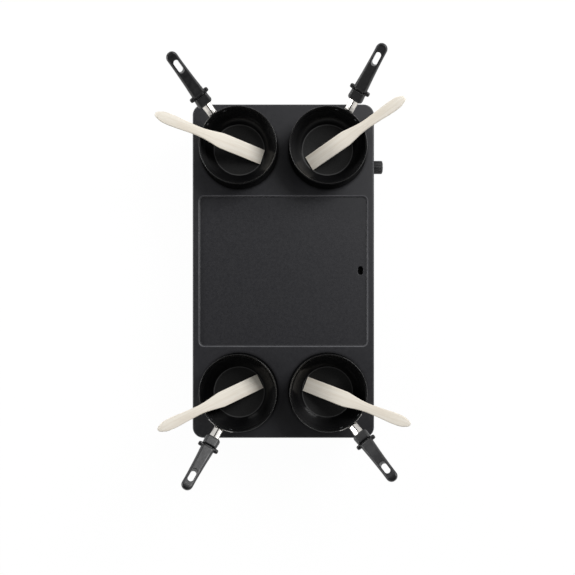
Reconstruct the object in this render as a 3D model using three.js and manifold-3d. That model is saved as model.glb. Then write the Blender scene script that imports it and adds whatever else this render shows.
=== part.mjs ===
// Electric table grill with four small pans and four wooden spatulas, in millimetres, +Z up.
// The origin is on the table under the middle of the grill plate. +X is the side with the control
// knob and +Y is the rear.
import * as THREE from 'three';
import { mergeVertices } from 'three/addons/utils/BufferGeometryUtils.js';
import Module from 'manifold-3d';

const wasm = await Module();
wasm.setup();

// Driving dimensions

const rest = 0.3;      // gap between two pieces that rest on each other
const overrun = 2;     // how far a cutting shape runs past the face that it opens
const mergeReach = 1e-4;

const plate = {
  width: 272,
  length: 500,
  topHeight: 90,
  thickness: 6,
  cornerRadius: 16,
  edgeRadius: 2.4,
  skirtDepth: 16,
  skirtWall: 3.5,
  overhang: 8,
  reveal: 11,
};

const griddle = {
  margin: 8.4,
  length: 228,
  cornerRadius: 9,
  depth: 2.5,
  lipRadius: 1,
};

const drain = {
  edgeInset: 20.2,
  y: 1,
  width: 7.2,
  length: 12.5,
  spoutWall: 1.8,
  spoutGap: 4.8,
};

const housing = {
  width: plate.width - 2 * plate.overhang,
  length: plate.length - 2 * plate.overhang,
  cornerRadius: 14,
  wall: 3,
  bottomHeight: 14,
  topHeight: plate.topHeight - plate.reveal,
  flangeWidth: 22,
  flangeThickness: 3,
  baseChamfer: 1.2,
  ribThickness: 2.4,
  columnInset: 18,
};

const clampColumn = {
  x: housing.width / 2 - housing.columnInset,
  y: housing.length / 2 - housing.columnInset,
  radius: 6,
};

const clampScrew = {
  radius: 2,
  clearance: 0.4,
  headRadius: 4,
  headHeight: 2.8,
  driveRadius: 1.6,
  driveDepth: 1.6,
  bite: 4.5,
};

const cover = {
  thickness: 3,
  clearance: 0.4,
  ventLength: 46,
  ventWidth: 5,
  ventPitch: 15,
  ventCount: 5,
  ventReach: 130,
};

const foot = {
  radius: 13,
  soleRadius: 11,
  soleChamfer: 1,
  headSeat: 5,
  wellClearance: 0.8,
};

const reflector = {
  thickness: 1,
  lipOverlap: 2,
  wallClearance: 1.2,
  depth: 20,
  cornerRadius: 20,
  wallSlope: 3,
  hemThickness: 1,
};

const element = {
  radius: 4,
  outerPass: 75,
  innerPass: 25,
  reach: 200,
  innerTurnReach: 175,
  rearRun: 210,
  endBend: 10,
  cornerBend: 15,
  endDrop: 12,
  firstEndY: 195,
  secondEndX: 50,
  holeClearance: 2.5,
};

const elementClamp = {
  width: 16,
  thickness: 1.5,
  overhang: 10,
  studRadius: 4,
  frontY: -110,
  rearY: 95,
};

const fuse = { radius: 2, length: 24, x: -50, y: 20, capRadius: 2.6, capLength: 4 };

// The knob's axis, from the rear edge of the plate and from the middle of the housing's height.
const knobAxis = { rearInset: 86, drop: 1.5 };

const thermostat = {
  depth: 34,
  width: 30,
  headroom: 5,
  edge: 3,
  bushRadius: 5,
  boreClearance: 0.3,
  boreDepth: 26,
  tabWidth: 6,
  tabThickness: 0.8,
  tabLength: 9,
  tabSpread: 8,
};

const shaft = { radius: 3, flatDepth: 0.8, insideBody: 24, insideKnob: 13 };

const nut = { acrossFlats: 14, thickness: 2.4 };

const knob = {
  radius: 10,
  ribDepth: 0.7,
  ribCount: 20,
  standOut: 25,
  wallGap: 0.6,
  collarRadius: 11.5,
  collarLength: 3,
  faceRadius: 8,
  faceRound: 1.4,
  nutClearance: 0.5,
  pointerWidth: 1.6,
  pointerDepth: 0.6,
};

const pilot = {
  knobGap: 26,
  rise: 5,
  radius: 3.5,
  headRadius: 4.6,
  headLength: 1.6,
  domeRise: 0.7,
  clearance: 0.3,
  lampRadius: 2.6,
  lampLength: 15,
  barbLength: 3,
};

const inlet = {
  x: 60,
  flangeWidth: 33,
  flangeHeight: 26,
  flangeThickness: 2.2,
  bodyWidth: 28,
  bodyHeight: 21,
  bodyDepth: 22,
  wall: 2.2,
  keyCut: 4,
  floorThickness: 4,
  cornerRadius: 3,
};

const inletPin = { width: 2, height: 4, pitch: 7, rise: 2, recess: 2, tail: 8, clearance: 0.3 };

const tray = {
  length: 95,
  width: 92,
  height: 24,
  wall: 1.5,
  cornerRadius: 6,
  draftShare: 0.03,
  frontWidth: 98,
  frontHeight: 27,
  frontThickness: 3,
  frontClearance: 0.5,
  gripDepth: 6,
  gripHeight: 3,
  gripWidth: 50,
};

const guide = { thickness: 1.2, clearance: 0.5, lipWidth: 3.5 };

const pan = {
  sideInset: 70,
  endInset: 69,
  rimRadius: 57,
  height: 38.5,
  floorRadius: 38,
  baseRadius: 39.5,
  floorThickness: 2.4,
  wall: 1.6,
  lipWidth: 2.2,
  lipHeight: 3,
  baseEase: 1,
};

const seat = { depth: 1.2, clearance: 1.5 };

const bracket = {
  bottom: 24.5,
  top: 35,
  thickness: 1.2,
  halfAngle: 21,
  tongueRoot: 9,
  tongueEnd: 11,
};

const rivet = {
  azimuth: 17,
  height: 29.8,
  radius: 1.7,
  clearance: 0.3,
  headRadius: 4,
  headRise: 1.6,
  headGap: 0.5,
  crownShare: 0.6,
  tailShare: 0.8,
};

// The handle's own frame starts on the rim's circle; its X runs up along the handle.
const handle = { tilt: 34, rootHeight: 30.5, length: 111.3, cornerShare: 0.42 };

const ferrule = {
  end: 21.2,
  width: 15,
  height: 12.4,
  rootWidth: 13.6,
  rootHeight: 11,
  wall: 0.8,
};

const grip = {
  tangStart: 12,
  cupStart: 21.5,
  cupEase: 2.2,
  cupWidth: 23.2,
  cupHeight: 17,
  cupEnd: 36.3,
  cupEndWidth: 21.6,
  cupEndHeight: 15.2,
  grooveEnd: 38.6,
  grooveWidth: 16.8,
  grooveHeight: 12.4,
  shoulderWidth: 19.6,
  shoulderHeight: 14,
  waistStation: 64,
  waistWidth: 18,
  waistHeight: 12.4,
  slotStation: 88.4,
  slotWidth: 8.8,
  slotLength: 22.2,
  endWidth: 16.8,
  endHeight: 9.8,
  earSpan: 31.9,
  earWidth: 4.2,
  earHeight: 6.4,
  screwPocket: 5,
  tipTurnShares: [0.3, 0.6, 0.85],
  tipFlattenShare: 0.3,
};

const tieScrew = { start: 2.5, radius: 2, headRadius: 3.5, headHeight: 2.4, clearance: 0.3 };

const spatula = {
  length: 171,
  bladeWidth: 22.8,
  bladeEdge: 1.6,
  bladeThickness: 2.8,
  bladeEnd: 68,
  shoulderStation: 79,
  shoulderWidth: 18.6,
  throatStation: 91,
  throatWidth: 15,
  neckStation: 105,
  neckWidth: 13.2,
  swellStation: 144,
  swellWidth: 16.6,
  handleThickness: 3.6,
  endStation: 160,
  endWidth: 15.2,
  crownStation: 168,
  crownWidth: 11,
  tipWidth: 7,
  tipThickness: 2.8,
  edgeShare: 0.25,
};

// Where each pan and its spatula stand, with the directions of their handles in degrees.
// The two shares place the spatula's lower end on the pan's floor, along and across its own length.
const places = [
  { name: 'rear_left', sideX: -1, sideY: 1, handle: 128.8, lean: 162.1, setbackShare: 0.95, acrossShare: 0 },
  { name: 'rear_right', sideX: 1, sideY: 1, handle: 59.5, lean: 31, setbackShare: 0.89, acrossShare: 0.1 },
  { name: 'front_left', sideX: -1, sideY: -1, handle: -118.5, lean: -155, setbackShare: 0.92, acrossShare: 0.04 },
  { name: 'front_right', sideX: 1, sideY: -1, handle: -52.7, lean: -20.5, setbackShare: 0.92, acrossShare: 0 },
];

// How finely round shapes are cut.
const cornerSteps = 4;
const panSides = 32;
const wallSteps = 3;
const seatSides = 24;
const smallSides = 8;
const footSides = 12;
const roundSides = 16;

// Heights and places that follow from the sizes above.
const plateUnder = plate.topHeight - plate.thickness;
const griddleFloor = plate.topHeight - griddle.depth;
const coverTop = housing.bottomHeight + cover.thickness;
const wallInnerX = housing.width / 2 - housing.wall;
const wallInnerY = housing.length / 2 - housing.wall;
const screwHole = clampScrew.radius + clampScrew.clearance;
const elementHeight = plateUnder - rest - element.radius;
const clampTop = elementHeight - element.radius - rest;
const reflectorFloor = plateUnder - reflector.depth;
const elementEnd = reflectorFloor - element.endDrop;
const axisY = plate.length / 2 - knobAxis.rearInset;
const axisHeight = (housing.bottomHeight + housing.topHeight) / 2 - knobAxis.drop;
const thermostatHeight = 2 * (reflectorFloor - axisHeight - thermostat.headroom);
const pilotY = axisY - pilot.knobGap;
const pilotHeight = axisHeight + pilot.rise;
const knobEnd = housing.width / 2 + knob.standOut;
const trayBottom = coverTop + guide.thickness + rest;
const guideRoof = trayBottom + tray.height + guide.clearance;
const spoutBottom = guideRoof + guide.thickness + drain.spoutGap;
const drainX = plate.width / 2 - drain.edgeInset;
const griddleWidth = plate.width - 2 * griddle.margin;
const panX = plate.width / 2 - pan.sideInset;
const panY = plate.length / 2 - pan.endInset;
const spoutWidth = drain.width + 2 * drain.spoutWall;
const spoutLength = drain.length + 2 * drain.spoutWall;

// Materials

function finish(color, roughness, metalness = 0) {
  return new THREE.MeshStandardMaterial({ color, roughness, metalness });
}

const finishes = {
  coatedPlate: () => finish(0x38383a, 0.55, 0.2),
  coatedPan: () => finish(0x151517, 0.3, 0.2),
  blackPlastic: () => finish(0x1c1c1e, 0.5),
  bakelite: () => finish(0x17171a, 0.4),
  steel: () => finish(0xc9c9cb, 0.28, 1),
  sheetSteel: () => finish(0xb9bbbe, 0.38, 1),
  elementSheath: () => finish(0x5b5f57, 0.5, 0.8),
  rubber: () => finish(0x101011, 0.85),
  wood: () => finish(0xdfd3bf, 0.7),
  lens: () => finish(0xb02018, 0.2),
  lamp: () => finish(0xe8e4d8, 0.15),
  brass: () => finish(0xb8964f, 0.35, 1),
};

// Building solids

function bare(geometry) {
  const copy = geometry.clone();
  for (const name of Object.keys(copy.attributes)) {
    if (name !== 'position') copy.deleteAttribute(name);
  }
  return mergeVertices(copy, mergeReach);
}

// A closed geometry as a solid with its faces outwards, without the empty triangles of a pole.
function solidOf(geometry) {
  const merged = bare(geometry);
  const corners = merged.index.array;
  const kept = [];
  for (let i = 0; i < corners.length; i += 3) {
    const [a, b, c] = corners.slice(i, i + 3);
    if (a !== b && b !== c && c !== a) kept.push(a, b, c);
  }
  const vertProperties = new Float32Array(merged.attributes.position.array);
  const build = (triVerts) => new wasm.Manifold(new wasm.Mesh({ numProp: 3, vertProperties, triVerts }));
  const solid = build(new Uint32Array(kept));
  if (solid.volume() >= 0) return solid;
  return build(new Uint32Array(kept.reverse()));
}

function geometryOf(solid) {
  const { vertProperties, triVerts } = solid.getMesh();
  const geometry = new THREE.BufferGeometry();
  geometry.setAttribute('position', new THREE.BufferAttribute(new Float32Array(vertProperties), 3));
  geometry.setIndex(Array.from(triVerts));
  const flat = geometry.toNonIndexed();
  flat.computeVertexNormals();
  return flat;
}

function join(first, ...others) {
  return geometryOf(others.reduce((sum, other) => sum.add(solidOf(other)), solidOf(first)));
}

function cut(first, ...tools) {
  return geometryOf(tools.reduce((sum, tool) => sum.subtract(solidOf(tool)), solidOf(first)));
}

function overlapOf(first, second) {
  return geometryOf(solidOf(first).intersect(solidOf(second)));
}

// A closed skin over rings of equal count, with flat ends.
function loft(rings) {
  const count = rings[0].length;
  const last = (rings.length - 1) * count;
  const faces = [];
  for (let base = 0; base < last; base += count) {
    for (let i = 0; i < count; i++) {
      const next = (i + 1) % count;
      faces.push(base + i, base + next, base + next + count);
      faces.push(base + i, base + next + count, base + i + count);
    }
  }
  for (let i = 1; i + 1 < count; i++) {
    faces.push(0, i + 1, i);
    faces.push(last, last + i, last + i + 1);
  }
  const geometry = new THREE.BufferGeometry().setFromPoints(rings.flat());
  geometry.setIndex(faces);
  return geometryOf(solidOf(geometry));
}

function roundedRect(width, length, radius, steps = cornerSteps) {
  const points = [];
  const corners = [[1, 1], [-1, 1], [-1, -1], [1, -1]];
  corners.forEach(([sideX, sideY], quarter) => {
    for (let i = 0; i <= steps; i++) {
      const angle = (quarter + i / steps) * Math.PI / 2;
      points.push(new THREE.Vector2(
        sideX * (width / 2 - radius) + radius * Math.cos(angle),
        sideY * (length / 2 - radius) + radius * Math.sin(angle),
      ));
    }
  });
  return points;
}

// A stack of rounded rectangles: each level has a height and how far it is drawn in from the first size.
function slab({ width, length, cornerRadius }, levels, steps = cornerSteps) {
  return loft(levels.map(([inset, height]) => {
    const radius = Math.max(cornerRadius - inset, cornerRadius / cornerSteps);
    return roundedRect(width - 2 * inset, length - 2 * inset, radius, steps)
      .map((point) => new THREE.Vector3(point.x, point.y, height));
  }));
}

// Levels of a quarter round that starts upright at the given height and ends flat.
function roundOver(height, radius, steps = 2) {
  const levels = [];
  for (let i = 0; i <= steps; i++) {
    const angle = (i / steps) * Math.PI / 2;
    levels.push([radius * (1 - Math.cos(angle)), height + radius * Math.sin(angle)]);
  }
  return levels;
}

// A solid turned about +Z from a closed profile of [radius, height] pairs.
function turned(profile, sides) {
  const points = profile.map(([radius, height]) => new THREE.Vector2(radius, height));
  return new THREE.LatheGeometry(points, sides).rotateX(Math.PI / 2);
}

function closedProfile(profile) {
  return [...profile, profile[0]];
}

function cylinder(radius, bottom, top, sides = roundSides) {
  return turned([[0, bottom], [radius, bottom], [radius, top], [0, top]], sides);
}

function box(width, length, bottom, top) {
  return new THREE.BoxGeometry(width, length, top - bottom).translate(0, 0, (bottom + top) / 2);
}

// An upright prism over an outline of Vector2 points.
function prism(outline, bottom, top) {
  const shape = new THREE.Shape(outline);
  const settings = { depth: top - bottom, bevelEnabled: false };
  return new THREE.ExtrudeGeometry(shape, settings).translate(0, 0, bottom);
}

// The outline of a slot with round ends; its length includes the ends and lies along Y.
function slotOutline(width, length, steps = cornerSteps) {
  return roundedRect(width, length, width / 2 - rest / cornerSteps, steps);
}

// Turns a shape that stands on +Z so that it points along +X.
function alongX(geometry) {
  return geometry.rotateY(Math.PI / 2);
}

function alongY(geometry) {
  return geometry.rotateX(-Math.PI / 2);
}

const grill = new THREE.Group();

function addTo(parent, name, geometry, material) {
  const mesh = new THREE.Mesh(geometry, material);
  mesh.name = name;
  parent.add(mesh);
  return mesh;
}

function fourCorners(x, y) {
  return [[-x, -y], [x, -y], [-x, y], [x, y]];
}

// Grill plate

function griddleCut() {
  const levels = [];
  const steps = 2;
  const wallRun = griddle.depth - griddle.lipRadius;
  for (let i = 0; i <= steps; i++) {
    const angle = (i / steps) * Math.PI / 2;
    levels.push([
      griddle.lipRadius + wallRun * (1 - Math.sin(angle)),
      griddleFloor + wallRun * (1 - Math.cos(angle)),
    ]);
  }
  for (let i = 1; i <= steps; i++) {
    const angle = (i / steps) * Math.PI / 2;
    levels.push([
      griddle.lipRadius * Math.cos(angle),
      plate.topHeight - griddle.lipRadius + griddle.lipRadius * Math.sin(angle),
    ]);
  }
  levels.push([0, plate.topHeight + overrun]);
  return slab({ ...griddle, width: griddleWidth }, levels);
}

function makePlate() {
  const skirtBottom = plate.topHeight - plate.skirtDepth;
  const body = slab(plate, [[0, skirtBottom], ...roundOver(plate.topHeight - plate.edgeRadius, plate.edgeRadius)]);
  const hollow = slab(plate, [
    [plate.skirtWall, skirtBottom - overrun],
    [plate.skirtWall, plateUnder - plate.edgeRadius],
    [plate.skirtWall + plate.edgeRadius, plateUnder],
  ]);
  const bosses = fourCorners(clampColumn.x, clampColumn.y).map(([x, y]) => (
    cylinder(clampColumn.radius, housing.topHeight, plateUnder + overrun, smallSides).translate(x, y, 0)
  ));
  const studs = [elementClamp.frontY, elementClamp.rearY].flatMap((y) => (
    [-1, 1].map((side) => {
      const x = side * (element.innerPass + element.outerPass) / 2;
      return cylinder(elementClamp.studRadius, clampTop, plateUnder + overrun, smallSides).translate(x, y, 0);
    })
  ));
  const spout = prism(slotOutline(spoutWidth, spoutLength), spoutBottom, plateUnder + overrun)
    .translate(drainX, drain.y, 0);
  const cast = join(cut(body, hollow), ...bosses, ...studs, spout);
  const seats = fourCorners(panX, panY).map(([x, y]) => (
    cylinder(pan.baseRadius + seat.clearance, plate.topHeight - seat.depth, plate.topHeight + overrun, seatSides)
      .translate(x, y, 0)
  ));
  const bores = fourCorners(clampColumn.x, clampColumn.y).map(([x, y]) => (
    cylinder(screwHole, housing.topHeight - overrun, plateUnder, smallSides).translate(x, y, 0)
  ));
  const hole = prism(slotOutline(drain.width, drain.length), spoutBottom - overrun, plate.topHeight)
    .translate(drainX, drain.y, 0);
  return cut(cast, griddleCut(), ...seats, ...bores, hole);
}

addTo(grill, 'grill_plate', makePlate(), finishes.coatedPlate());

// Housing, cover and feet

function trayWindow(clearance) {
  const width = tray.frontWidth + 2 * clearance;
  const bottom = coverTop + guide.thickness;
  return box(housing.wall * 2 + overrun * 2, width, bottom - clearance, bottom + tray.frontHeight + clearance)
    .translate(housing.width / 2 - housing.wall / 2, drain.y, 0);
}

function makeHousing() {
  const outer = slab(housing, [
    [housing.baseChamfer, housing.bottomHeight],
    [0, housing.bottomHeight + housing.baseChamfer],
    [0, housing.topHeight],
  ]);
  const inner = slab(housing, [
    [housing.wall, housing.bottomHeight - overrun],
    [housing.wall, housing.topHeight - housing.flangeThickness],
  ]);
  const mouth = slab(housing, [
    [housing.flangeWidth, housing.topHeight - housing.flangeThickness - overrun],
    [housing.flangeWidth, housing.topHeight + overrun],
  ]);
  const columnTop = housing.topHeight - housing.flangeThickness / 2;
  const columns = fourCorners(clampColumn.x, clampColumn.y).flatMap(([x, y]) => {
    const ribX = wallInnerX + housing.wall / 2 - Math.abs(x);
    const ribY = wallInnerY + housing.wall / 2 - Math.abs(y);
    return [
      cylinder(clampColumn.radius, coverTop, columnTop, smallSides).translate(x, y, 0),
      box(ribX, housing.ribThickness, coverTop, columnTop).translate(x + Math.sign(x) * ribX / 2, y, 0),
      box(housing.ribThickness, ribY, coverTop, columnTop).translate(x, y + Math.sign(y) * ribY / 2, 0),
    ];
  });
  const bores = fourCorners(clampColumn.x, clampColumn.y).map(([x, y]) => (
    cylinder(screwHole, coverTop - overrun, housing.topHeight + overrun, smallSides).translate(x, y, 0)
  ));
  const spoutHole = prism(
    slotOutline(spoutWidth + drain.spoutWall, spoutLength + drain.spoutWall),
    housing.topHeight - housing.flangeThickness - overrun,
    housing.topHeight + overrun,
  ).translate(drainX, drain.y, 0);
  const bushHole = alongX(cylinder(thermostat.bushRadius + rest, -housing.wall, housing.wall))
    .translate(housing.width / 2 - housing.wall / 2, axisY, axisHeight);
  const lensHole = alongX(cylinder(pilot.radius + pilot.clearance, -housing.wall, housing.wall, smallSides))
    .translate(housing.width / 2 - housing.wall / 2, pilotY, pilotHeight);
  const inletHole = alongY(prism(
    roundedRect(inlet.bodyWidth + rest * 2, inlet.bodyHeight + rest * 2, inlet.cornerRadius),
    -housing.wall,
    housing.wall,
  )).translate(inlet.x, housing.length / 2 - housing.wall / 2, axisHeight);
  return cut(
    join(cut(outer, inner, mouth), ...columns),
    ...bores,
    spoutHole,
    bushHole,
    lensHole,
    inletHole,
    trayWindow(tray.frontClearance),
  );
}

addTo(grill, 'base_housing', makeHousing(), finishes.blackPlastic());

function makeCover() {
  const inset = housing.wall + cover.clearance;
  const plain = slab(housing, [[inset, housing.bottomHeight], [inset, coverTop]]);
  const holes = fourCorners(clampColumn.x, clampColumn.y).map(([x, y]) => (
    cylinder(screwHole, housing.bottomHeight - overrun, coverTop + overrun, smallSides).translate(x, y, 0)
  ));
  const vents = [];
  for (const end of [-1, 1]) {
    for (let i = 0; i < cover.ventCount; i++) {
      const x = (i - (cover.ventCount - 1) / 2) * cover.ventPitch;
      vents.push(prism(
        slotOutline(cover.ventWidth, cover.ventLength, 1),
        housing.bottomHeight - overrun,
        coverTop + overrun,
      ).translate(x, end * cover.ventReach, 0));
    }
  }
  return cut(plain, ...holes, ...vents);
}

addTo(grill, 'bottom_cover', makeCover(), finishes.blackPlastic());

function makeFoot() {
  const top = housing.bottomHeight;
  const wellRadius = clampScrew.headRadius + foot.wellClearance;
  return turned(closedProfile([
    [wellRadius, 0],
    [foot.soleRadius - foot.soleChamfer, 0],
    [foot.soleRadius, foot.soleChamfer],
    [foot.radius, top],
    [screwHole, top],
    [screwHole, foot.headSeat],
    [wellRadius, foot.headSeat],
  ]), footSides);
}

function makeClampScrew() {
  const headBottom = foot.headSeat - rest - clampScrew.headHeight;
  const top = housing.topHeight + clampScrew.bite;
  return cut(
    turned([
      [0, headBottom],
      [clampScrew.headRadius, headBottom],
      [clampScrew.headRadius, foot.headSeat - rest],
      [clampScrew.radius, foot.headSeat - rest],
      [clampScrew.radius, top - clampScrew.radius / 2],
      [clampScrew.radius / 2, top],
      [0, top],
    ], smallSides),
    cylinder(clampScrew.driveRadius, headBottom - overrun, headBottom + clampScrew.driveDepth, 6),
  );
}

const cornerNames = ['front_left', 'front_right', 'rear_left', 'rear_right'];
fourCorners(clampColumn.x, clampColumn.y).forEach(([x, y], i) => {
  addTo(grill, `foot_${cornerNames[i]}`, makeFoot(), finishes.rubber()).position.set(x, y, 0);
  addTo(grill, `clamp_screw_${cornerNames[i]}`, makeClampScrew(), finishes.steel()).position.set(x, y, 0);
});

// Heating element, its clamps, the reflector and the thermal fuse

// A route that is written as runs and bends. Its points are where the tube gets a ring.
class TubeRoute extends THREE.Curve {
  constructor(start, heading) {
    super();
    this.heading = heading.clone();
    this.points = [start.clone()];
  }

  run(distance) {
    const from = this.points[this.points.length - 1];
    this.points.push(from.clone().addScaledVector(this.heading, distance));
    return this;
  }

  bend(axis, degrees, radius, steps) {
    const from = this.points[this.points.length - 1];
    const side = axis.clone().cross(this.heading).multiplyScalar(Math.sign(degrees) * radius);
    const centre = from.clone().add(side);
    const spoke = side.clone().negate();
    for (let i = 1; i <= steps; i++) {
      const angle = THREE.MathUtils.degToRad(degrees) * i / steps;
      this.points.push(spoke.clone().applyAxisAngle(axis, angle).add(centre));
    }
    this.heading.applyAxisAngle(axis, THREE.MathUtils.degToRad(degrees));
    return this;
  }

  getPoint(t, target = new THREE.Vector3()) {
    const station = t * (this.points.length - 1);
    const index = Math.min(Math.floor(station), this.points.length - 2);
    return target.lerpVectors(this.points[index], this.points[index + 1], station - index);
  }

  getUtoTmapping(u) {
    return u;
  }
}

function makeElement() {
  const xAxis = new THREE.Vector3(1, 0, 0);
  const yAxis = new THREE.Vector3(0, 1, 0);
  const zAxis = new THREE.Vector3(0, 0, 1);
  const turnRadius = (element.outerPass - element.innerPass) / 2;
  const straight = element.reach - turnRadius;
  const start = new THREE.Vector3(element.outerPass, element.firstEndY, elementEnd);
  const rise = elementHeight - elementEnd - element.endBend;
  const rearStart = element.rearRun - element.cornerBend;
  const route = new TubeRoute(start, zAxis)
    .run(rise)
    .bend(xAxis, 90, element.endBend, 3)
    .run(element.firstEndY - element.endBend + straight)
    .bend(zAxis, -180, turnRadius, 6)
    .run(straight + element.innerTurnReach - element.innerPass)
    .bend(zAxis, 180, element.innerPass, 6)
    .run(straight + element.innerTurnReach - element.innerPass)
    .bend(zAxis, -180, turnRadius, 6)
    .run(straight + rearStart)
    .bend(zAxis, -90, element.cornerBend, 3)
    .run(element.outerPass - element.cornerBend + element.secondEndX - element.endBend)
    .bend(yAxis, 90, element.endBend, 3)
    .run(rise);
  const section = new THREE.Shape();
  const sides = 8;
  for (let i = 0; i < sides; i++) {
    const angle = (i + 0.5) / sides * 2 * Math.PI;
    const x = element.radius * Math.cos(angle);
    const y = element.radius * Math.sin(angle);
    if (i === 0) section.moveTo(x, y);
    else section.lineTo(x, y);
  }
  section.closePath();
  const tube = new THREE.ExtrudeGeometry(section, { steps: route.points.length - 1, extrudePath: route });
  return geometryOf(solidOf(tube));
}

addTo(grill, 'heating_element', makeElement(), finishes.elementSheath());

function makeElementClamp() {
  const length = 2 * (element.outerPass + elementClamp.overhang);
  return slab(
    { width: length, length: elementClamp.width, cornerRadius: elementClamp.width / 4 },
    [[0, clampTop - elementClamp.thickness], [0, clampTop]],
    2,
  );
}

addTo(grill, 'element_clamp_front', makeElementClamp(), finishes.sheetSteel()).position.y = elementClamp.frontY;
addTo(grill, 'element_clamp_rear', makeElementClamp(), finishes.sheetSteel()).position.y = elementClamp.rearY;

function makeFuse() {
  const half = fuse.length / 2;
  return turned([
    [0, -half],
    [fuse.radius, -half],
    [fuse.radius, -half + fuse.capLength],
    [fuse.capRadius, -half + fuse.capLength],
    [fuse.capRadius, half - fuse.capLength],
    [fuse.radius, half - fuse.capLength],
    [fuse.radius, half],
    [0, half],
  ], smallSides);
}

addTo(grill, 'thermal_fuse', alongY(makeFuse()), finishes.brass())
  .position.set(fuse.x, fuse.y, plateUnder - rest - fuse.capRadius);

function makeReflector() {
  const lipInset = housing.flangeWidth - reflector.lipOverlap;
  const wallInset = housing.flangeWidth + reflector.wallClearance;
  const size = { width: housing.width, length: housing.length, cornerRadius: wallInset + reflector.cornerRadius };
  const lipBottom = housing.topHeight;
  const lipTop = lipBottom + reflector.hemThickness;
  const outer = slab(size, [
    [wallInset + reflector.wallSlope, reflectorFloor],
    [wallInset, lipBottom],
    [lipInset, lipBottom],
    [lipInset, lipTop],
  ]);
  const inner = slab(size, [
    [wallInset + reflector.wallSlope + reflector.thickness, reflectorFloor + reflector.thickness],
    [wallInset + reflector.thickness, lipTop + overrun],
  ]);
  const ends = [[element.outerPass, element.firstEndY], [element.secondEndX, element.rearRun]];
  const holes = ends.map(([x, y]) => (
    cylinder(
      element.radius + element.holeClearance,
      reflectorFloor - overrun,
      reflectorFloor + reflector.thickness + overrun,
      smallSides,
    ).translate(x, y, 0)
  ));
  return cut(outer, inner, ...holes);
}

addTo(grill, 'heat_reflector', makeReflector(), finishes.sheetSteel());

// Thermostat, its shaft and nut, and the control knob

const knobStart = housing.width / 2 + knob.wallGap;
const bushEnd = housing.width / 2 + nut.thickness + rest * 2;

function makeThermostat() {
  const bodyLevels = [[0, 0], ...roundOver(thermostat.depth - thermostat.edge, thermostat.edge, 1)];
  const body = alongX(slab(
    { width: thermostatHeight, length: thermostat.width, cornerRadius: thermostat.edge },
    bodyLevels,
    2,
  )).translate(-thermostat.depth, 0, 0);
  const bush = alongX(cylinder(thermostat.bushRadius, -overrun, bushEnd - wallInnerX));
  const bore = alongX(cylinder(
    shaft.radius + thermostat.boreClearance,
    bushEnd - wallInnerX - thermostat.boreDepth - shaft.insideBody / 2,
    bushEnd - wallInnerX + overrun,
    smallSides,
  ));
  const tabs = [-1, 1].map((side) => (
    box(thermostat.tabLength + overrun, thermostat.tabWidth, 0, thermostat.tabThickness)
      .translate(-thermostat.depth - thermostat.tabLength / 2 + overrun / 2, side * thermostat.tabSpread, 0)
  ));
  return cut(join(body, bush, ...tabs), bore);
}

const thermostatMesh = addTo(grill, 'thermostat', makeThermostat(), finishes.bakelite());
thermostatMesh.position.set(wallInnerX, axisY, axisHeight);

function flatted(radius, flatDepth, start, end, sides) {
  const round = alongX(cylinder(radius, start, end, sides));
  const flat = box(end - start + 2 * overrun, 2 * radius + overrun, radius - flatDepth, radius + overrun)
    .translate((start + end) / 2, 0, 0);
  return cut(round, flat);
}

addTo(grill, 'thermostat_shaft', flatted(
  shaft.radius,
  shaft.flatDepth,
  bushEnd - shaft.insideBody,
  bushEnd + shaft.insideKnob,
  smallSides,
), finishes.brass()).position.set(0, axisY, axisHeight);

function makeNut() {
  const outer = cylinder(nut.acrossFlats / Math.sqrt(3), 0, nut.thickness, 6);
  return alongX(cut(outer, cylinder(thermostat.bushRadius + rest, -overrun, nut.thickness + overrun)));
}

addTo(grill, 'thermostat_nut', makeNut(), finishes.brass())
  .position.set(housing.width / 2, axisY, axisHeight);

// A circle of fine V-shaped ribs.
function ribbedOutline(radius, depth, count) {
  const points = [];
  for (let i = 0; i < 2 * count; i++) {
    const angle = i / count * Math.PI;
    const reach = i % 2 ? radius - depth : radius;
    points.push(new THREE.Vector2(reach * Math.cos(angle), reach * Math.sin(angle)));
  }
  return points;
}

function makeKnob() {
  const length = knobEnd - knobStart;
  const ribbed = ribbedOutline(knob.radius, knob.ribDepth, knob.ribCount);
  const ring = (share, height) => ribbed.map((p) => new THREE.Vector3(p.x * share, p.y * share, height));
  const faceShare = knob.faceRadius / knob.radius;
  const grip = loft([
    ring(1, knob.collarLength / 2),
    ring(1, length - knob.faceRound),
    ring(faceShare, length),
  ]);
  const collar = cylinder(knob.collarRadius, 0, knob.collarLength);
  const nutRoom = cylinder(
    nut.acrossFlats / Math.sqrt(3) + knob.nutClearance,
    -overrun,
    bushEnd - knobStart + knob.nutClearance,
  );
  const boreEnd = bushEnd + shaft.insideKnob - knobStart + rest;
  const pointer = box(knob.radius + overrun, knob.pointerWidth, length - knob.pointerDepth, length + overrun)
    .rotateZ(Math.PI)
    .translate(-(knob.radius + overrun) / 2, 0, 0);
  const turnedKnob = alongX(cut(join(grip, collar), nutRoom, pointer));
  const bore = flatted(shaft.radius + rest, shaft.flatDepth, 0, boreEnd, smallSides);
  return cut(turnedKnob, bore);
}

addTo(grill, 'control_knob', makeKnob(), finishes.blackPlastic())
  .position.set(knobStart, axisY, axisHeight);

// Pilot lens and lamp

function makeLens() {
  return alongX(turned([
    [0, -housing.wall - pilot.barbLength],
    [pilot.radius, -housing.wall - pilot.barbLength],
    [pilot.radius, rest],
    [pilot.headRadius, rest],
    [pilot.headRadius, pilot.headLength],
    [pilot.headRadius / 2, pilot.headLength + pilot.domeRise],
    [0, pilot.headLength + pilot.domeRise],
  ], smallSides));
}

addTo(grill, 'pilot_lens', makeLens(), finishes.lens())
  .position.set(housing.width / 2, pilotY, pilotHeight);

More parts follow.
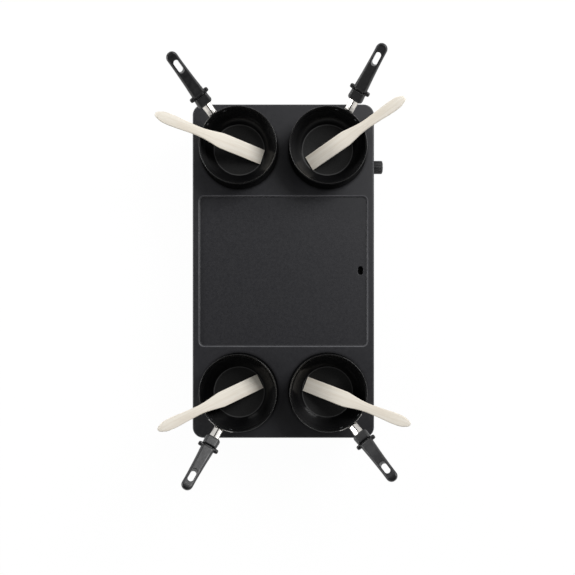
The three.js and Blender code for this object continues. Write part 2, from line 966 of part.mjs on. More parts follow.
function makeLamp() {
  return alongX(turned([
    [0, -pilot.lampLength],
    [pilot.lampRadius, -pilot.lampLength],
    [pilot.lampRadius, -pilot.lampRadius],
    [pilot.lampRadius / 2, 0],
    [0, 0],
  ], smallSides));
}

addTo(grill, 'pilot_lamp', makeLamp(), finishes.lamp())
  .position.set(wallInnerX - pilot.barbLength - rest, pilotY, pilotHeight);

// Appliance inlet and its pins

function socketOutline(width, height) {
  const halfWidth = width / 2;
  const halfHeight = height / 2;
  return [
    new THREE.Vector2(-halfWidth, -halfHeight),
    new THREE.Vector2(halfWidth, -halfHeight),
    new THREE.Vector2(halfWidth, halfHeight - inlet.keyCut),
    new THREE.Vector2(halfWidth - inlet.keyCut, halfHeight),
    new THREE.Vector2(-halfWidth + inlet.keyCut, halfHeight),
    new THREE.Vector2(-halfWidth, halfHeight - inlet.keyCut),
  ];
}

// Stands on the XY plane with its mouth up; the outline's Y becomes the grill's height.
const inletPinPlaces = [
  ['inlet_pin_line', -inletPin.pitch, -inletPin.rise],
  ['inlet_pin_neutral', inletPin.pitch, -inletPin.rise],
  ['inlet_pin_earth', 0, inletPin.rise],
];

function outwardRear(geometry) {
  return geometry.rotateX(Math.PI / 2).rotateZ(Math.PI);
}

function makeInlet() {
  const flange = slab(
    { width: inlet.flangeWidth, length: inlet.flangeHeight, cornerRadius: inlet.cornerRadius },
    [[0, 0], [0, inlet.flangeThickness / 2], [inlet.flangeThickness / 2, inlet.flangeThickness]],
    2,
  );
  const body = prism(
    roundedRect(inlet.bodyWidth, inlet.bodyHeight, inlet.cornerRadius, 2),
    -inlet.bodyDepth,
    inlet.flangeThickness / 2,
  );
  const cavity = prism(
    socketOutline(inlet.bodyWidth - 2 * inlet.wall, inlet.bodyHeight - 2 * inlet.wall),
    -inlet.bodyDepth + inlet.floorThickness,
    inlet.flangeThickness + overrun,
  );
  const pinHoles = inletPinPlaces.map(([, x, y]) => (
    box(
      inletPin.width + 2 * inletPin.clearance,
      inletPin.height + 2 * inletPin.clearance,
      -inlet.bodyDepth - overrun,
      -inlet.bodyDepth + inlet.floorThickness + overrun,
    ).translate(x, y, 0)
  ));
  return outwardRear(cut(join(flange, body), cavity, ...pinHoles));
}

addTo(grill, 'appliance_inlet', makeInlet(), finishes.bakelite())
  .position.set(inlet.x, housing.length / 2, axisHeight);

for (const [name, x, y] of inletPinPlaces) {
  const pin = slab(
    { width: inletPin.width, length: inletPin.height, cornerRadius: inletPin.width / 4 },
    [
      [0, -inlet.bodyDepth - inletPin.tail],
      [0, -inletPin.recess - inletPin.width / 2],
      [inletPin.width / 4, -inletPin.recess],
    ],
    1,
  ).translate(x, y, 0);
  addTo(grill, name, outwardRear(pin), finishes.brass()).position.set(inlet.x, housing.length / 2, axisHeight);
}

// Grease tray and its guide

const trayFront = housing.width / 2 - housing.wall - rest;

function makeTray() {
  const size = { width: tray.length, length: tray.width, cornerRadius: tray.cornerRadius };
  const draft = tray.height * tray.draftShare;
  const shell = slab(size, [[draft, trayBottom], [0, trayBottom + tray.height]])
    .translate(trayFront - tray.length / 2, 0, 0);
  const front = box(
    tray.frontThickness + rest,
    tray.frontWidth - tray.frontClearance,
    coverTop + guide.thickness + tray.frontClearance / 2,
    coverTop + guide.thickness + tray.frontHeight - tray.frontClearance / 2,
  ).translate(trayFront + (tray.frontThickness + rest) / 2, 0, 0);
  const grip = slab(
    { width: 2 * tray.gripDepth, length: tray.gripWidth, cornerRadius: tray.gripDepth - rest },
    [[0, trayBottom + tray.gripHeight], [0, trayBottom + 2 * tray.gripHeight]],
  ).translate(housing.width / 2, 0, 0);
  const hollow = slab(size, [
    [tray.wall + draft, trayBottom + tray.wall],
    [tray.wall, trayBottom + tray.height + overrun],
  ]).translate(trayFront - tray.length / 2, 0, 0);
  return cut(join(shell, front, grip), hollow);
}

addTo(grill, 'grease_tray', makeTray(), finishes.sheetSteel()).position.y = drain.y;

function makeGuide() {
  const innerWidth = tray.width + 2 * guide.clearance;
  const outerWidth = innerWidth + 2 * guide.thickness;
  const length = tray.length + guide.clearance + guide.thickness;
  const end = wallInnerX - rest;
  const channel = box(length, outerWidth, coverTop, guideRoof + guide.thickness).translate(end - length / 2, 0, 0);
  const room = box(length, innerWidth, coverTop + guide.thickness, guideRoof)
    .translate(end - length / 2 + guide.thickness, 0, 0);
  const mouth = box(length, innerWidth - 2 * guide.lipWidth, coverTop + guide.thickness, guideRoof + 2 * overrun)
    .translate(end - length / 2 + guide.thickness, 0, 0);
  return cut(channel, room, mouth);
}

addTo(grill, 'tray_guide', makeGuide(), finishes.sheetSteel()).position.y = drain.y;

// Pans

// The inside of the wall from the floor to the lip: part of an ellipse that starts with a crease.
const creaseShare = 0.2;

function wallLine(offset, from, to, steps) {
  const start = Math.sin(creaseShare * Math.PI / 2);
  const startCos = Math.cos(creaseShare * Math.PI / 2);
  const lipRadius = pan.rimRadius - pan.lipWidth;
  const lipStart = pan.height - pan.lipHeight;
  const line = [];
  for (let i = 0; i <= steps; i++) {
    const angle = THREE.MathUtils.lerp(creaseShare, 1, THREE.MathUtils.lerp(from, to, i / steps)) * Math.PI / 2;
    const run = (Math.sin(angle) - start) / (1 - start);
    const rise = (startCos - Math.cos(angle)) / startCos;
    const radius = THREE.MathUtils.lerp(pan.floorRadius, lipRadius, run);
    const height = THREE.MathUtils.lerp(pan.floorThickness, lipStart, rise);
    const slopeRun = Math.cos(angle) * (lipRadius - pan.floorRadius) / (1 - start);
    const slopeRise = Math.sin(angle) * (lipStart - pan.floorThickness) / startCos;
    const scale = offset / Math.hypot(slopeRun, slopeRise);
    line.push([radius + slopeRise * scale, height - slopeRun * scale]);
  }
  return line;
}

// The wall's point and tilt at a height, in the middle of one of its flats.
function wallAt(height) {
  const line = wallLine(0, 0, 1, wallSteps);
  const index = line.findIndex((point) => point[1] > height);
  const [low, high] = [line[index - 1], line[index]];
  const share = (height - low[1]) / (high[1] - low[1]);
  return {
    radius: THREE.MathUtils.lerp(low[0], high[0], share) * Math.cos(Math.PI / panSides),
    tilt: Math.atan2(high[0] - low[0], high[1] - low[1]),
  };
}

function panProfile() {
  const lipInner = pan.rimRadius - pan.lipWidth;
  const lipStart = pan.height - pan.lipHeight;
  const outside = wallLine(pan.wall, 0, 1, wallSteps).slice(1);
  const inside = wallLine(0, 0, 1, wallSteps).reverse();
  return [
    [0, 0],
    [pan.baseRadius - pan.baseEase, 0],
    [pan.baseRadius, pan.baseEase],
    ...outside,
    [pan.rimRadius - pan.wall / 4, pan.height - pan.wall],
    [pan.rimRadius, pan.height - pan.wall / 2],
    [pan.rimRadius - pan.wall / 4, pan.height],
    [lipInner + pan.lipWidth / 4, lipStart + pan.lipHeight / 2],
    ...inside,
    [0, pan.floorThickness],
  ];
}

function rivetPlaces(build) {
  const { radius, tilt } = wallAt(rivet.height);
  const flat = 2 * Math.PI / panSides;
  const azimuth = (Math.floor(THREE.MathUtils.degToRad(rivet.azimuth) / flat) + 0.5) * flat;
  return [-1, 1].map((side) => (
    alongX(build())
      .rotateY(tilt)
      .translate(radius, 0, rivet.height)
      .rotateZ(side * azimuth)
  ));
}

function makePan() {
  const holes = rivetPlaces(() => (
    cylinder(rivet.radius + rivet.clearance, -overrun, pan.wall + overrun, smallSides)
  ));
  return cut(turned(panProfile(), panSides), ...holes);
}

// The pan's outside, grown by a gap, as a full solid for cutting what rests against it.
function panEnvelope(gap) {
  const grown = pan.wall + gap;
  const line = wallLine(grown, 0, 1, wallSteps);
  const top = line[line.length - 1];
  return turned([
    [0, line[0][1] - overrun],
    [line[0][0], line[0][1] - overrun],
    ...line,
    [Math.max(top[0], pan.rimRadius + gap), pan.height - pan.wall - gap],
    [Math.max(top[0], pan.rimRadius + gap), pan.height + overrun],
    [0, pan.height + overrun],
  ], panSides);
}

function handleFrame(geometry) {
  return geometry
    .rotateY(-THREE.MathUtils.degToRad(handle.tilt))
    .translate(pan.rimRadius, 0, handle.rootHeight);
}

// One section across the handle, at a station along it.
function ringAlong(station, width, height) {
  const radius = Math.min(width, height) * handle.cornerShare;
  return roundedRect(width, height, radius, 2).map((p) => new THREE.Vector3(station, p.x, p.y));
}

function makeBracket() {
  const outer = panEnvelope(rest + bracket.thickness);
  const inner = panEnvelope(rest);
  const reach = 2 * pan.rimRadius;
  const angle = THREE.MathUtils.degToRad(bracket.halfAngle);
  const wedge = prism([
    new THREE.Vector2(0, 0),
    new THREE.Vector2(reach, -reach * Math.tan(angle)),
    new THREE.Vector2(reach, reach * Math.tan(angle)),
  ], bracket.bottom, bracket.top);
  const band = overlapOf(outer, wedge);
  const shrink = 2 * (ferrule.wall + rest);
  const tongue = handleFrame(loft([-bracket.tongueRoot, bracket.tongueEnd].map((station) => (
    ringAlong(station, ferrule.rootWidth - shrink, ferrule.rootHeight - shrink)
  ))));
  const bore = handleFrame(alongX(cylinder(
    tieScrew.radius + tieScrew.clearance,
    tieScrew.start - rest,
    bracket.tongueEnd + overrun,
    smallSides,
  )));
  const rivetHoles = rivetPlaces(() => (
    cylinder(rivet.radius + rivet.clearance, 0, pan.wall + bracket.thickness + overrun, smallSides)
  ));
  return cut(join(band, tongue), inner, bore, ...rivetHoles);
}

// A domed head inside the pan, and a lower closed head outside.
function makeRivet() {
  const outerFace = pan.wall + rest + bracket.thickness + rivet.headGap;
  return [
    [0, -rivet.headGap - rivet.headRise],
    [rivet.headRadius * rivet.crownShare, -rivet.headGap - rivet.headRise * rivet.tailShare],
    [rivet.headRadius, -rivet.headGap],
    [rivet.radius, -rivet.headGap],
    [rivet.radius, outerFace],
    [rivet.headRadius * rivet.tailShare, outerFace],
    [0, outerFace + rivet.headRise * rivet.crownShare],
  ];
}

function makeFerrule() {
  const shrink = 2 * ferrule.wall;
  const halfway = ferrule.end / 2;
  const outer = loft([
    ringAlong(-bracket.tongueRoot, ferrule.rootWidth, ferrule.rootHeight),
    ringAlong(halfway, ferrule.rootWidth, ferrule.rootHeight),
    ringAlong(ferrule.end, ferrule.width, ferrule.height),
  ]);
  const inner = loft([
    ringAlong(-bracket.tongueRoot - overrun, ferrule.rootWidth - shrink, ferrule.rootHeight - shrink),
    ringAlong(halfway, ferrule.rootWidth - shrink, ferrule.rootHeight - shrink),
    ringAlong(ferrule.end, ferrule.width - shrink, ferrule.height - shrink),
    ringAlong(ferrule.end + overrun, ferrule.width - shrink, ferrule.height - shrink),
  ]);
  return cut(handleFrame(outer), handleFrame(inner), panEnvelope(2 * rest + bracket.thickness));
}

function makeGrip() {
  const shrink = 2 * (ferrule.wall + rest);
  const tangWidth = ferrule.rootWidth - shrink;
  const tangHeight = ferrule.rootHeight - shrink;
  const tang = loft([
    ringAlong(grip.tangStart, tangWidth, tangHeight),
    ringAlong(grip.cupStart + overrun, tangWidth, tangHeight),
  ]);
  const cupMouth = grip.cupWidth - grip.cupEase;
  const tipRadius = grip.endWidth / 2;
  const tipCentre = handle.length - tipRadius;
  const tipRings = grip.tipTurnShares.map((share) => {
    const angle = share * Math.PI / 2;
    const height = grip.endHeight * Math.cos(angle) ** grip.tipFlattenShare;
    return ringAlong(tipCentre + tipRadius * Math.sin(angle), grip.endWidth * Math.cos(angle), height);
  });
  const body = loft([
    ringAlong(grip.cupStart, cupMouth, grip.cupHeight - grip.cupEase),
    ringAlong(grip.cupStart + grip.cupEase, grip.cupWidth, grip.cupHeight),
    ringAlong(grip.cupEnd, grip.cupEndWidth, grip.cupEndHeight),
    ringAlong(grip.cupEnd, grip.grooveWidth, grip.grooveHeight),
    ringAlong(grip.grooveEnd, grip.grooveWidth, grip.grooveHeight),
    ringAlong(grip.grooveEnd, grip.shoulderWidth, grip.shoulderHeight),
    ringAlong(grip.waistStation, grip.waistWidth, grip.waistHeight),
    ringAlong(grip.slotStation, grip.endWidth, grip.endHeight),
    ringAlong(tipCentre, grip.endWidth, grip.endHeight),
    ...tipRings,
  ]);
  const ears = prism(
    slotOutline(grip.earWidth, grip.earSpan, 2),
    -grip.earHeight / 2,
    grip.earHeight / 2,
  ).translate((grip.cupEnd + grip.grooveEnd) / 2, 0, 0);
  const slot = prism(
    slotOutline(grip.slotWidth, grip.slotLength, 3),
    -grip.cupHeight,
    grip.cupHeight,
  ).rotateZ(Math.PI / 2).translate(grip.slotStation, 0, 0);
  const slotStart = grip.slotStation - grip.slotLength / 2;
  const bore = alongX(cylinder(
    tieScrew.radius + tieScrew.clearance,
    grip.tangStart - overrun,
    slotStart + overrun,
    smallSides,
  ));
  const pocket = alongX(cylinder(
    tieScrew.headRadius + tieScrew.clearance,
    slotStart - grip.screwPocket,
    slotStart + overrun,
    smallSides,
  ));
  return handleFrame(cut(join(body, tang, ears), slot, bore, pocket));
}

function makeTieScrew() {
  const headBase = grip.slotStation - grip.slotLength / 2 - grip.screwPocket + rest;
  return handleFrame(alongX(turned([
    [0, tieScrew.start],
    [tieScrew.radius, tieScrew.start + tieScrew.radius / 2],
    [tieScrew.radius, headBase],
    [tieScrew.headRadius, headBase],
    [tieScrew.headRadius, headBase + tieScrew.headHeight],
    [0, headBase + tieScrew.headHeight],
  ], smallSides)));
}

// Spatulas

function makeSpatula() {
  const section = (station, width, thickness) => {
    const edge = thickness * spatula.edgeShare;
    return [
      [-width / 2, edge], [-width / 2 + edge, 0], [width / 2 - edge, 0], [width / 2, edge],
      [width / 2, thickness - edge], [width / 2 - edge, thickness],
      [-width / 2 + edge, thickness], [-width / 2, thickness - edge],
    ].map(([y, z]) => new THREE.Vector3(station, y, z));
  };
  return loft([
    section(0, spatula.bladeWidth, spatula.bladeEdge),
    section(spatula.bladeEnd / 2, spatula.bladeWidth, spatula.bladeThickness),
    section(spatula.bladeEnd, spatula.bladeWidth, spatula.bladeThickness),
    section(spatula.shoulderStation, spatula.shoulderWidth, spatula.bladeThickness),
    section(spatula.throatStation, spatula.throatWidth, spatula.handleThickness),
    section(spatula.neckStation, spatula.neckWidth, spatula.handleThickness),
    section(spatula.swellStation, spatula.swellWidth, spatula.handleThickness),
    section(spatula.endStation, spatula.endWidth, spatula.handleThickness),
    section(spatula.crownStation, spatula.crownWidth, spatula.handleThickness),
    section(spatula.length, spatula.tipWidth, spatula.tipThickness),
  ]);
}

for (const place of places) {
  const group = new THREE.Group();
  group.position.set(
    place.sideX * panX,
    place.sideY * panY,
    plate.topHeight - seat.depth + rest,
  );
  grill.add(group);

  const panGroup = new THREE.Group();
  panGroup.rotation.z = THREE.MathUtils.degToRad(place.handle);
  group.add(panGroup);
  const panName = `pan_${place.name}`;
  addTo(panGroup, panName, makePan(), finishes.coatedPan());
  addTo(panGroup, `${panName}_bracket`, makeBracket(), finishes.steel());
  addTo(panGroup, `${panName}_ferrule`, makeFerrule(), finishes.steel());
  addTo(panGroup, `${panName}_grip`, makeGrip(), finishes.bakelite());
  addTo(panGroup, `${panName}_tie_screw`, makeTieScrew(), finishes.steel());
  rivetPlaces(() => turned(makeRivet(), smallSides)).forEach((geometry, i) => {
    addTo(panGroup, `${panName}_rivet_${['right', 'left'][i]}`, geometry, finishes.steel());
  });

  const setback = pan.floorRadius * place.setbackShare;
  const across = pan.floorRadius * place.acrossShare;
  const lowEnd = pan.floorThickness + rest;
  const rimReach = Math.sqrt(pan.rimRadius ** 2 - (Math.abs(across) + spatula.shoulderWidth / 2) ** 2);
  const lean = Math.atan2(pan.height + rest - lowEnd, setback + rimReach - pan.lipWidth);
  const spatulaGroup = new THREE.Group();
  spatulaGroup.rotation.z = THREE.MathUtils.degToRad(place.lean);
  group.add(spatulaGroup);
  const mesh = addTo(spatulaGroup, `spatula_${place.name}`, makeSpatula(), finishes.wood());
  mesh.position.set(-setback, -across, lowEnd);
  mesh.rotation.y = -lean;
}

export default grill;
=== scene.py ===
# Electric table grill with four small pans and four wooden spatulas, dressed for the photograph.
# Lengths are written in millimetres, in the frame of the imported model, and MM turns them to metres.
from math import atan, atan2, cos, hypot, pi, radians, sin, sqrt, tan

import bmesh
import bpy
from mathutils import Matrix, Vector


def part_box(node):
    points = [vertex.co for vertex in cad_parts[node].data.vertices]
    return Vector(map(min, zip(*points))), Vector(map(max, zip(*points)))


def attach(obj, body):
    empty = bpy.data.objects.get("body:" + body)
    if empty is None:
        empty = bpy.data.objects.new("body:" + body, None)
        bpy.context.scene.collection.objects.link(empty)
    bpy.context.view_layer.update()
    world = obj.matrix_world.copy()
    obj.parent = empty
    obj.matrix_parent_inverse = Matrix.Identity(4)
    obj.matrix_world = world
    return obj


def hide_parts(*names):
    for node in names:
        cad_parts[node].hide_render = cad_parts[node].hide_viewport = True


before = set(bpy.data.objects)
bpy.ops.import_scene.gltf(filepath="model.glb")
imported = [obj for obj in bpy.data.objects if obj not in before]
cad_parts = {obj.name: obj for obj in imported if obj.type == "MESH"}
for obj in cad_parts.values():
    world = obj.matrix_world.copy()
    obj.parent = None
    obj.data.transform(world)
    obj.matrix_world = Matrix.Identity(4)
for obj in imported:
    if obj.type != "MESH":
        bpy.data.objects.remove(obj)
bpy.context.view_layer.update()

MM = 0.001
TURN = 2 * pi
QUARTER = pi / 2
TO_METRES = Matrix.Scale(MM, 4)


def box_mm(node):
    """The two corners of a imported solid's box."""
    low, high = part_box(node)
    return low / MM, high / MM


# Driving dimensions

plate_low, plate_high = box_mm("grill_plate")
PLATE_WIDTH = plate_high.x - plate_low.x
PLATE_LENGTH = plate_high.y - plate_low.y
PLATE_TOP = plate_high.z
PLATE_CORNER = 16
PLATE_THICKNESS = 6
PLATE_EDGE = 2.4
SKIRT_DEPTH = 16
SKIRT_WALL = 3.5

GRIDDLE_MARGIN = 8.4
GRIDDLE_WIDTH = PLATE_WIDTH - 2 * GRIDDLE_MARGIN
GRIDDLE_LENGTH = 228
GRIDDLE_CORNER = 9
GRIDDLE_DEPTH = 2.5
GRIDDLE_LIP = 1.4
GRIDDLE_LIP_WIDTH = 2.4
# Width of the painted highlight, a paler band of coat, along the griddle's lip
LIP_HIGHLIGHT_WIDTH = 1.1

DRAIN_INSET = 20.2
DRAIN_Y = 1
DRAIN_WIDTH = 7.8
DRAIN_LENGTH = 12.6
DRAIN_LIP = 1
SPOUT_WALL = 1.8

COLUMN_RADIUS = 6

RIM_RADIUS = 57
PAN_HEIGHT = 38.5
FLOOR_RADIUS = 38
BASE_RADIUS = 39.5
FLOOR_THICKNESS = 2.4
PAN_WALL = 1.6
LIP_WIDTH = 2.2
LIP_HEIGHT = 3
SEAT_DEPTH = 1.2
SEAT_RADIUS = 58.5
# How far the painted shade of the pans reaches outside each seat
SEAT_SHADE_REACH = 5
REST_GAP = 0.3

# The curve of the pan's wall: the share of a quarter turn that the crease cuts off, and the share
# of the wall's length and the height at which it turns upright
CREASE_SHARE = 0.42
UPRIGHT_SHARE = 0.75
UPRIGHT_HEIGHT = 25
WALL_FLARE = 0.5

BRACKET_BOTTOM = 24.5
BRACKET_TOP = 35
BRACKET_THICKNESS = 1.2
BRACKET_HALF_ANGLE = radians(21)
BRACKET_END = 0.2
BRACKET_END_FALL = 0.45
TONGUE_STATIONS = (1.4, 11)

RIVET_ANGLE = radians(16.875)
RIVET_HEIGHT = 29.8
RIVET_RADIUS = 1.7
RIVET_HEAD = 3
RIVET_RISE = 0.9
RIVET_TAIL = 0.95

HANDLE_TILT = radians(34)
HANDLE_ROOT = 30.5
HANDLE_LENGTH = 111.3

FERRULE_START = -8
FERRULE_END = 21.2
FERRULE_WALL = 0.8
FERRULE_ROOT = (13.6, 11)
FERRULE_MOUTH = (15, 12.4)
FLAT_PITCH = radians(18)
SEAM_WIDTH = 1.5
SEAM_DEPTH = 0.6

CUP_START = 21.5
CUP_END = 36.3
GROOVE_END = 38.6
WAIST = 64
SLOT_STATION = 88.4
SLOT_WIDTH = 8.4
SLOT_LENGTH = 20.4
GRIP_END_WIDTH = 16.8
GRIP_END_HEIGHT = 9.8
GRIP_TIP_HEIGHT = 8.6
TIP_FALL = 0.7
GROOVE_WIDTH = 13.6
GROOVE_HEIGHT = 9
GRIP_FLAT = 0.76
GRIP_SIDE = 0.45
CORNER_EASE = 0.34
EAR_SPAN = 31.9
EAR_RADIUS = 3.4
EAR_NECK = 3.1

SPATULA_LENGTH = 171
SHOULDER_WIDTH = 18.6

KNOB_RADIUS = 10
KNOB_RIBS = 20
KNOB_COLLAR = 11.5
POINTER_SIZE = (6.4, 1.3)

DIAL_DEPTH = 0.2
DIAL_SWEEP = radians(270)
DIAL_NUMBERS = 6
DIAL_MARKS = 2 * DIAL_NUMBERS - 1
MARK_SIZE = (0.5, 2.2)
MARK_REACH = KNOB_COLLAR + 2.6
NUMBER_SIZE = 4.6
NUMBER_REACH = KNOB_COLLAR + 7

LENS_RADIUS = 4.6
LENS_BASE = 1.2
LENS_RISE = 1

# The direction of each handle and each spatula in degrees, and where the spatula's lower end
# stands on the pan's floor, as shares of the floor's radius
PLACES = {
    "rear_left": {"handle": 128.8, "lean": 162.1, "setback": 0.95, "across": 0},
    "rear_right": {"handle": 59.5, "lean": 31, "setback": 0.89, "across": 0.1},
    "front_left": {"handle": -118.5, "lean": -155, "setback": 0.92, "across": 0.04},
    "front_right": {"handle": -52.7, "lean": -20.5, "setback": 0.92, "across": 0},
}

# Camera, room and floor, in metres
CAMERA_PLACE = (0.01035, -0.111, 1.437)
CAMERA_LENS = 56.31
CAMERA_SENSOR = 36
CAMERA_SHIFT = (-0.0048, 0.1003)

# How bright the room is for rays that light the object, and its ceiling for rays that look at it;
# the ceiling sets in between two heights of the view, where 1 is straight up
ROOM_LEVEL = 0.24
CEILING_LEVEL = 0.09
CEILING_START = 0.3
CEILING_FULL = 0.6

FLOOR_SPAN = 8
FLOOR_GAP = 0.0001
FLOOR_TONE = 0.82
FLOOR_GLOW = 1.02
FLOOR_GLOW_SHARE = 0.95

# Each lamp's compass direction from the right side and its elevation in degrees, its distance,
# width and height, how bright its face is, and its colour where it isn't white
LAMPS = {
    "key_softbox": (40, 40, 1.8, 0.85, 0.85, 9.6),
    "rear_softbox": (80, 36, 1.6, 0.7, 0.6, 1.3),
    "high_right_card": (33, 62, 1.6, 0.45, 0.35, 1.2),
    "high_left_card": (213, 60, 1.6, 0.45, 0.35, 1.3),
    "left_rear_card": (130, 27, 1.6, 0.6, 0.4, 6),
    "left_strip": (180, 13, 1.6, 1, 0.35, 9),
    "right_strip": (0, 13, 1.6, 1, 0.35, 3.2),
    "front_card": (-90, 14, 1.6, 2.4, 0.5, 0.4, (1, 0.92, 0.82)),
}


def pan_centre(place):
    """The middle of a pan's base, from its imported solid."""
    low, high = box_mm(f"pan_{place}")
    return Vector(((low.x + high.x) / 2, (low.y + high.y) / 2, low.z))


def corner_spans():
    """How far apart the feet and the plate's columns stand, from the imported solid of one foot."""
    low, high = box_mm("foot_rear_right")
    spans = low + high
    return {"Span_X": spans.x, "Span_Y": spans.y}


def object_of(data, name):
    made = bpy.data.objects.new(name, data)
    bpy.context.scene.collection.objects.link(made)
    return made


# Node trees

class Nodes:
    """A node tree, with short ways to add nodes and to link or set their inputs."""

    def __init__(self, tree):
        self.tree = tree

    def put(self, value, socket):
        if isinstance(value, bpy.types.NodeSocket):
            self.tree.links.new(value, socket)
        else:
            socket.default_value = value

    def add(self, kind, **values):
        """A new node; the name of an input is written with _ for its spaces."""
        node = self.tree.nodes.new(kind)
        for label, value in values.items():
            self.put(value, node.inputs[label.replace("_", " ")])
        return node

    def maths(self, operation, *values):
        node = self.add("ShaderNodeMath")
        node.operation = operation
        for value, socket in zip(values, node.inputs):
            self.put(value, socket)
        return node.outputs[0]

    def parts(self, source):
        return self.add("ShaderNodeSeparateXYZ", Vector=source).outputs

    def spread(self, value, low, high, to_low=0, to_high=1):
        """Carries a value over from one range to another."""
        ends = {"From_Min": low, "From_Max": high, "To_Min": to_low, "To_Max": to_high}
        return self.add("ShaderNodeMapRange", Value=value, **ends).outputs["Result"]

    def looked_at(self):
        """1 for rays of the camera, of metal and of glass, 0 for rays that light the object."""
        ray = self.add("ShaderNodeLightPath").outputs
        mirrored = self.maths("MAXIMUM", ray["Is Camera Ray"], ray["Is Glossy Ray"])
        return self.maths("MAXIMUM", mirrored, ray["Is Transmission Ray"])


# Camera, lamps and room

camera_data = bpy.data.cameras.new("overhead_camera")
camera_data.lens = CAMERA_LENS
camera_data.sensor_width = CAMERA_SENSOR
camera_data.shift_x, camera_data.shift_y = CAMERA_SHIFT
camera = object_of(camera_data, "overhead_camera")
camera.location = CAMERA_PLACE
bpy.context.scene.camera = camera
bpy.context.scene.view_settings.view_transform = "Standard"


def softbox(name, azimuth, elevation, distance, width, height, radiance, colour=(1, 1, 1)):
    """A flat lamp that looks at the middle of the plate's top."""
    turn, rise = radians(azimuth), radians(elevation)
    reach = distance * cos(rise)
    aim = Vector((0, 0, PLATE_TOP * MM))
    place = aim + Vector((reach * cos(turn), reach * sin(turn), distance * sin(rise)))
    data = bpy.data.lights.new(name, "AREA")
    data.shape = "RECTANGLE"
    data.size = width
    data.size_y = height
    data.energy = radiance * pi * width * height
    data.color = colour
    light = object_of(data, name)
    light.location = place
    light.rotation_euler = (aim - place).to_track_quat("-Z", "Y").to_euler()
    light.visible_camera = False


for name, facts in LAMPS.items():
    softbox(name, *facts)

# The room is white up to the horizon and grey above it, for the camera, metal and glass alike
world = bpy.data.worlds.new("studio")
bpy.context.scene.world = world
world.use_nodes = True
room = Nodes(world.node_tree)
upwards = room.parts(room.add("ShaderNodeTexCoord").outputs["Generated"])["Z"]
ceiling = room.spread(upwards, CEILING_START, CEILING_FULL, 1, CEILING_LEVEL)
background = room.tree.nodes["Background"]
background.inputs["Color"].default_value = (1, 1, 1, 1)
room.put(room.spread(room.looked_at(), 0, 1, ROOM_LEVEL, ceiling), background.inputs["Strength"])


# Finishes

def linear(red, green, blue):
    """An sRGB colour of 0 to 255 as Blender's linear colour."""
    shares = [value / 255 for value in (red, green, blue)]
    return (*(x / 12.92 if x <= 0.04045 else ((x + 0.055) / 1.055) ** 2.4 for x in shares), 1)


def times(tone, factor):
    """A lighter or darker colour, no lighter than white."""
    return (*(min(1, factor * part) for part in tone[:3]), 1)


class Finish(Nodes):
    """A node material; its patterns read the object's coordinates in metres, or a stored place."""

    def __init__(self, name, colour, roughness, metallic=0, **uniform):
        self.material = bpy.data.materials.new(name)
        self.material.use_nodes = True
        super().__init__(self.material.node_tree)
        self.shader = self.tree.nodes["Principled BSDF"]
        self.dress(Base_Color=colour, Roughness=roughness, Metallic=metallic, **uniform)
        self.place = self.add("ShaderNodeTexCoord").outputs["Object"]

    def dress(self, **inputs):
        """Links or sets inputs of the shader."""
        for label, value in inputs.items():
            self.put(value, self.shader.inputs[label.replace("_", " ")])

    def stored(self, attribute):
        node = self.add("ShaderNodeAttribute")
        node.attribute_name = attribute
        return node.outputs["Vector"]

    def stretched(self, source, scale):
        return self.add("ShaderNodeMapping", Vector=source, Scale=scale).outputs["Vector"]

    def noise(self, scale, detail=3, source=None, roughness=0.5, distortion=0):
        return self.add(
            "ShaderNodeTexNoise", Vector=source or self.place, Scale=scale,
            Detail=detail, Roughness=roughness, Distortion=distortion,
        ).outputs["Fac"]

    def patches(self, scale, detail, low=0.3, high=0.7, to_low=0, to_high=1):
        """Noise whose patches run from one value to another."""
        return self.spread(self.noise(scale, detail), low, high, to_low, to_high)

    def cells(self, scale, source=None):
        return self.add("ShaderNodeTexVoronoi", Vector=source or self.place, Scale=scale).outputs["Distance"]

    def blend(self, factor, first, second):
        node = self.add("ShaderNodeMix")
        node.data_type = "RGBA"
        self.put(factor, node.inputs["Factor"])
        colours = [socket for socket in node.inputs if socket.type == "RGBA"]
        for value, socket in zip((first, second), colours):
            self.put(value, socket)
        return next(socket for socket in node.outputs if socket.type == "RGBA")

    def diagonal(self, *sides):
        return self.maths("SQRT", self.maths("ADD", *(self.maths("POWER", side, 2) for side in sides)))

    def from_middle(self, source, middle=(0, 0, 0)):
        """How far a point is from an upright axis."""
        place = self.parts(source)
        return self.diagonal(*(self.maths("SUBTRACT", place[i], middle[i]) for i in (0, 1)))

    def from_outline(self, source, width, length, corner):
        """How far a point is outside a rounded rectangle around the middle; negative inside."""
        place = self.parts(source)
        past = [
            self.maths("SUBTRACT", self.maths("ABSOLUTE", place[i]), size / 2 - corner)
            for i, size in enumerate((width, length))
        ]
        outside = self.diagonal(*(self.maths("MAXIMUM", side, 0) for side in past))
        inside = self.maths("MINIMUM", self.maths("MAXIMUM", *past), 0)
        return self.maths("SUBTRACT", self.maths("ADD", outside, inside), corner)

    def bump(self, height, depth, strength=1, under=None):
        """Relief of a depth in metres, over other relief if there is any."""
        node = self.add("ShaderNodeBump", Height=height, Distance=depth, Strength=strength)
        if under:
            self.put(under, node.inputs["Normal"])
        self.dress(Normal=node.outputs["Normal"])
        return node.outputs["Normal"]


